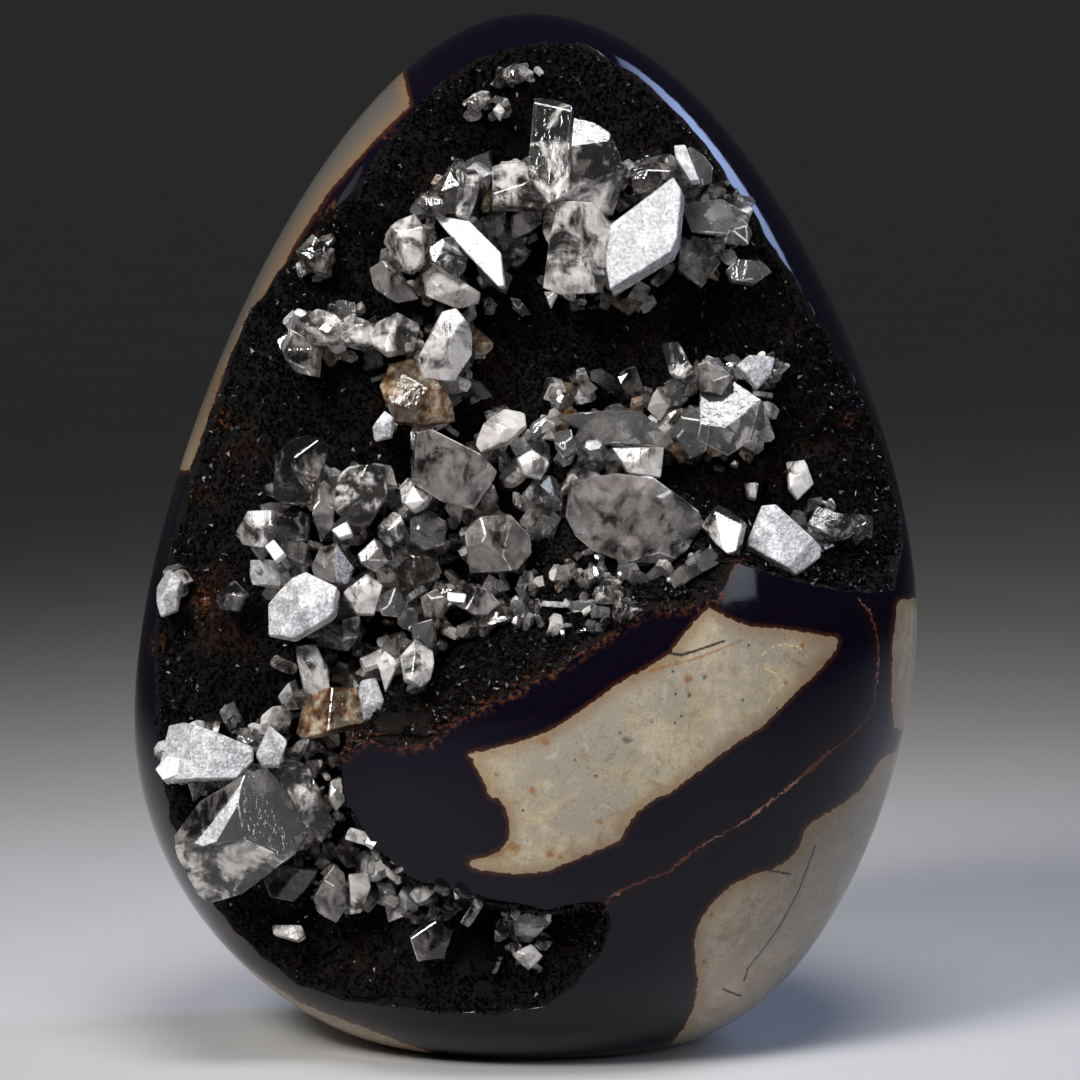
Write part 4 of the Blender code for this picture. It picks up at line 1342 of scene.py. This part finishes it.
def prism_points(chance):
    """A six-sided prism."""
    turns = [math.tau * (row + chance.uniform(-0.2, 0.2)) / 6 for row in range(6)]
    return [Vector((0.42 * math.cos(turn), 0.42 * math.sin(turn), height))
            for turn in turns for height in (-0.2, 1.1)]


def petal_points(chance):
    """A thick blade with a round outline."""
    turns = [math.tau * (row + chance.uniform(-0.2, 0.2)) / 9 for row in range(9)]
    return [Vector((0.55 * math.cos(turn), side, 0.6 * math.sin(turn) + 0.3))
            for turn in turns for side in (-0.18, 0.18)]


def template(name, points, cuts, chance):
    """A small crystal: the hull of some points, with a few corners sliced off flat."""
    bm = hull(points)
    for _ in range(cuts):
        away = Vector((chance.gauss(0, 1), chance.gauss(0, 1), abs(chance.gauss(0.6, 0.6))))
        away.normalize()
        far = max(vert.co.dot(away) for vert in bm.verts)
        cut(bm, away * far * chance.uniform(0.72, 0.90), away)
    bmesh.ops.recalc_face_normals(bm, faces=bm.faces[:])
    bmesh.ops.triangulate(bm, faces=bm.faces[:])
    mesh = bpy.data.meshes.new(name)
    bm.to_mesh(mesh)
    bm.free()
    return mesh


def small_templates():
    chance = random.Random(5)
    shapes = (("block", block_points, 3), ("prism", prism_points, 4), ("petal", petal_points, 2))
    return [[template(f"{name}_{row}", points(chance), cuts, chance)
             for row in range(TEMPLATE_KINDS)] for name, points, cuts in shapes]


TEMPLATES = small_templates()
print("template faces", [[len(shape.polygons) for shape in row] for row in TEMPLATES])

# %% Where they grow
CLUSTERS = (
    # middle of the patch, half width, half height, how many, smallest and largest size, height
    ((515, 205), 100, 42, 60, 2.2, 5.0, 7),
    ((450, 265), 75, 42, 50, 2.2, 4.6, 6),
    ((600, 262), 90, 34, 40, 1.8, 3.8, 6),
    ((690, 225), 60, 50, 55, 1.8, 4.2, 5),
    ((655, 185), 45, 28, 22, 2.0, 4.0, 8),
    ((335, 335), 55, 28, 36, 1.8, 4.0, 4),
    ((440, 350), 45, 40, 34, 2.0, 4.4, 6),
    ((425, 400), 50, 42, 36, 1.8, 4.2, 6),
    ((600, 430), 110, 48, 90, 1.8, 4.6, 5),
    ((720, 415), 55, 52, 44, 1.8, 4.2, 4),
    ((480, 500), 90, 62, 90, 1.8, 4.6, 5),
    ((340, 540), 85, 80, 80, 2.0, 4.8, 6),
    ((450, 590), 95, 50, 80, 1.8, 4.4, 5),
    ((380, 630), 70, 70, 60, 2.0, 4.4, 6),
    ((560, 600), 85, 34, 55, 1.5, 3.4, 3),
    ((640, 560), 70, 30, 40, 1.5, 3.2, 3),
    ((320, 700), 48, 50, 40, 1.8, 4.2, 6),
    ((240, 755), 65, 36, 44, 1.8, 4.0, 6),
    ((312, 800), 34, 60, 44, 1.6, 3.8, 5),
    ((350, 870), 60, 34, 44, 1.6, 3.6, 3),
    ((430, 900), 60, 20, 26, 1.5, 3.2, 2),
    ((520, 935), 34, 40, 16, 1.4, 3.2, 2),
    ((515, 75), 28, 14, 12, 1.2, 2.4, 2),
    ((485, 108), 22, 14, 9, 1.2, 2.4, 2),
    ((830, 525), 42, 24, 18, 1.5, 3.2, 2),
    ((318, 256), 22, 26, 10, 1.6, 3.0, 2),
    ((755, 372), 24, 18, 12, 1.6, 3.2, 4),
    ((170, 592), 20, 30, 10, 1.6, 3.2, 2),
    ((600, 300), 60, 14, 14, 1.2, 2.6, 3),
)
SMALL_LEAN = 0.5
# The last share goes to the painted glint kind.
KIND_SHARES = (0.28, 0.36, 0.05, 0.26, 0.03, 0.02)


def cluster_frames(dice):
    """Frames of all small crystals."""
    points, normals, sizes = [], [], []
    for middle, wide, high, count, small, big, height in CLUSTERS:
        angles = dice.uniform(0, math.tau, count)
        reach = np.sqrt(dice.random(count))
        for angle, far in zip(angles, reach):
            place = (middle[0] + wide * far * math.cos(angle),
                     middle[1] + high * far * math.sin(angle))
            floor, normal, _, _ = LINING.ray_cast(EYE, sight_line(place))
            size = dice.uniform(small, big) * MILLIMETRE
            rise = height * MILLIMETRE * (1 - far * far) * dice.random()
            if floor is None or normal.dot(TOWARD_EYE) < 0:
                continue
            points.append(floor + TOWARD_EYE * rise)
            normals.append((normal + TOWARD_EYE * 0.7).normalized())
            sizes.append(size * np.array([1, dice.uniform(0.6, 1.1), dice.uniform(0.8, 1.7)]))
    return standing_frames(np.array(points), np.array(normals), np.array(sizes),
                           SMALL_LEAN, dice)


def grow_small(dice):
    """One object for each family of shapes, from the frames that fall to each template."""
    frames = cluster_frames(dice)
    turns = dice.integers(0, len(TEMPLATES) * TEMPLATE_KINDS, len(frames))
    grown = []
    for family, shapes in enumerate(TEMPLATES):
        parts, haze = [], []
        for row, shape in enumerate(shapes):
            chosen = frames[turns == family * TEMPLATE_KINDS + row]
            part = strewn("part", shape, chosen)
            kinds = dice.choice(len(KINDS), size=len(chosen), p=KIND_SHARES)
            part.data.polygons.foreach_set(
                "material_index", np.repeat(kinds, len(shape.polygons)).astype(np.int32))
            parts.append(part)
            haze.append(np.repeat(dice.random(len(chosen)), len(shape.vertices)))
        piece = joined(("small_blocks", "small_prisms", "small_petals")[family], parts)
        store_field(piece, "haze", np.concatenate(haze))
        grown.append(piece)
    return grown


def joined(name, parts):
    """One object from several, which are removed."""
    bm = bmesh.new()
    for part in parts:
        bm.from_mesh(part.data)
        bpy.data.objects.remove(part, do_unlink=True)
    return new_object(name, bm)


small_pieces = grow_small(np.random.default_rng(23))
print("small crystal faces", [len(piece.data.polygons) for piece in small_pieces])

# %% [markdown]
# ## Clear, milky, frosted, smoky and stained calcite
# Calcite is clear where it grew slowly and milky where it trapped water. Light passes
# through the clear kinds, so they get plain transmission with calcite's own index. The
# others let less light through and scatter more of it. Faint clouds and fine growth lines
# keep any facet from being even.

# %% The crystals' materials
CALCITE_INDEX = 1.62


def crystal_material(name, through, tints, rough, grain, relief):
    """A calcite: through is how much light passes in its milkiest and clearest parts."""
    material, tree, shader = new_material(name)
    where = places_on(tree)
    veil = cloud(tree, where, 0.17, 4, 0.62, 0.8)
    wrinkle = cloud(tree, where, grain, 3, 0.6)
    lines = cloud(tree, places_on(tree, (1.0, 0.12, 0.25)), 1.3, 2)
    patch = maths(tree, "MULTIPLY_ADD", maths(tree, "SUBTRACT", lines, 0.5), 0.16, veil)
    patch = maths(tree, "MULTIPLY_ADD", field(tree, "haze"), -0.22, patch)
    patch = maths(tree, "ADD", patch, 0.11)
    tone = mixed(tree, ramp(tree, wrinkle, 0.38, 0.62), colour(*tints[0]), colour(*tints[1]))
    normal = bump(tree, wrinkle, relief, 0.0004)
    normal = bump(tree, lines, relief * 0.6, 0.0003, normal)
    feed(tree, shader, {
        "Base Color": tone, "Roughness": ramp(tree, patch, 0.38, 0.64, *rough),
        "Normal": normal, "IOR": CALCITE_INDEX,
        "Transmission Weight": through[1] if through[0] == through[1]
        else ramp(tree, patch, 0.38, 0.60, *through)})
    return material


CRYSTAL_FINISHES = (
    crystal_material("clear_calcite", (0.93, 0.93), ((0.90, 0.88, 0.87), (0.74, 0.72, 0.70)),
                     (0.12, 0.03), 0.5, 0.20),
    crystal_material("milky_calcite", (0.30, 0.98), ((0.64, 0.60, 0.57), (0.84, 0.80, 0.77)),
                     (0.30, 0.05), 0.5, 0.26),
    crystal_material("frosted_calcite", (0.05, 0.50), ((0.84, 0.83, 0.85), (0.44, 0.43, 0.45)),
                     (0.40, 0.22), 1.6, 0.60),
    crystal_material("smoky_calcite", (0.66, 0.99), ((0.38, 0.34, 0.32), (0.60, 0.55, 0.52)),
                     (0.20, 0.03), 0.5, 0.26),
    crystal_material("stained_calcite", (0.25, 0.85), ((0.50, 0.40, 0.28), (0.21, 0.085, 0.025)),
                     (0.34, 0.12), 0.55, 0.55),
    # White calcite as a painted glint: partly white crystal, partly the glint of facets that face
    # the lamps.
    crystal_material("painted_glint_calcite", (0.05, 0.35), ((0.80, 0.80, 0.81), (0.50, 0.50, 0.52)),
                     (0.30, 0.14), 0.7, 0.30),
)
for piece in [large] + small_pieces:
    for finish in CRYSTAL_FINISHES:
        piece.data.materials.append(finish)
    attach(piece, "root")
    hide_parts("crystal_crust")

# %% [markdown]
# ## A plain studio
# The stone stands on a wide pale floor. Soft lamps light it from the front left and from
# above, a long narrow one behind it gives the cool line of light down its right edge, and
# a dim pale surround fills the shadows.

# %% Floor
FLOOR_SIZE = 25.0
FLOOR_TONE = colour(0.60, 0.59, 0.58)


def studio_floor():
    bm = bmesh.new()
    bmesh.ops.create_grid(bm, x_segments=2, y_segments=2, size=FLOOR_SIZE)
    floor = new_object("studio_floor", bm)
    material, tree, shader = new_material("pale_floor")
    where = places_on(tree)
    tone = mixed(tree, cloud(tree, where, 0.02, 4), FLOOR_TONE, colour(0.56, 0.55, 0.54))
    feed(tree, shader, {"Base Color": tone, "Roughness": 0.55})
    floor.data.materials.append(material)
    return floor


studio_floor()


# %% Lamps
def soft_lamp(name, place, size, watts, tint=(1, 1, 1), along=(0, 0, 1)):
    """A soft box that faces the stone; its second size runs along a direction."""
    data = bpy.data.lights.new(name, "AREA")
    data.shape = "RECTANGLE"
    data.size, data.size_y = size
    data.energy = watts
    data.color = tint
    data.spread = LAMP_SPREAD
    away = (Vector(place) - MIDDLE).normalized()
    side = Vector(along).cross(away).normalized()
    lamp = bpy.data.objects.new(name, data)
    lamp.location = place
    lamp.rotation_euler = Matrix((side, away.cross(side), away)).transposed().to_euler()
    lamp.visible_camera = False
    bpy.context.scene.collection.objects.link(lamp)
    return lamp


LAMP_SPREAD = math.radians(45)
MIDDLE = Vector((0, 0, HEIGHT / 2))
soft_lamp("key_lamp", (-0.50, -0.80, 0.80), (0.36, 0.36), 0.98)
soft_lamp("top_lamp", (0.05, -0.45, 1.05), (0.50, 0.30), 0.60)
soft_lamp("right_lamp", (0.80, -0.60, 0.45), (0.20, 0.50), 0.16, (0.80, 0.87, 1.0))
soft_lamp("edge_lamp", (0.76, 0.50, 0.76), (0.20, 0.80), 0.44, (0.43, 0.57, 1.0),
          (-0.58, -0.05, 0.80))
soft_lamp("left_lamp", (-0.95, 0.35, 0.50), (0.20, 0.60), 0.03)

world = bpy.data.worlds.new("pale_surround")
world.use_nodes = True
world.node_tree.nodes["Background"].inputs["Color"].default_value = colour(0.9, 0.92, 0.95)
world.node_tree.nodes["Background"].inputs["Strength"].default_value = 0.035
bpy.context.scene.world = world
bpy.context.scene.view_settings.view_transform = "Standard"

# %% Camera
SENSOR_WIDTH = 36.0
PICTURE_WIDTH = 1080

camera_data = bpy.data.cameras.new("front_camera")
camera_data.sensor_width = SENSOR_WIDTH
camera_data.lens = SENSOR_WIDTH * VIEW_DISTANCE / (PICTURE_WIDTH * PICTURE_UNIT)
camera = bpy.data.objects.new("front_camera", camera_data)
camera.location = EYE
camera.rotation_euler = (-TOWARD_EYE).to_track_quat("-Z", "Y").to_euler()
bpy.context.scene.collection.objects.link(camera)
bpy.context.scene.camera = camera
print("lens", round(camera_data.lens, 1))
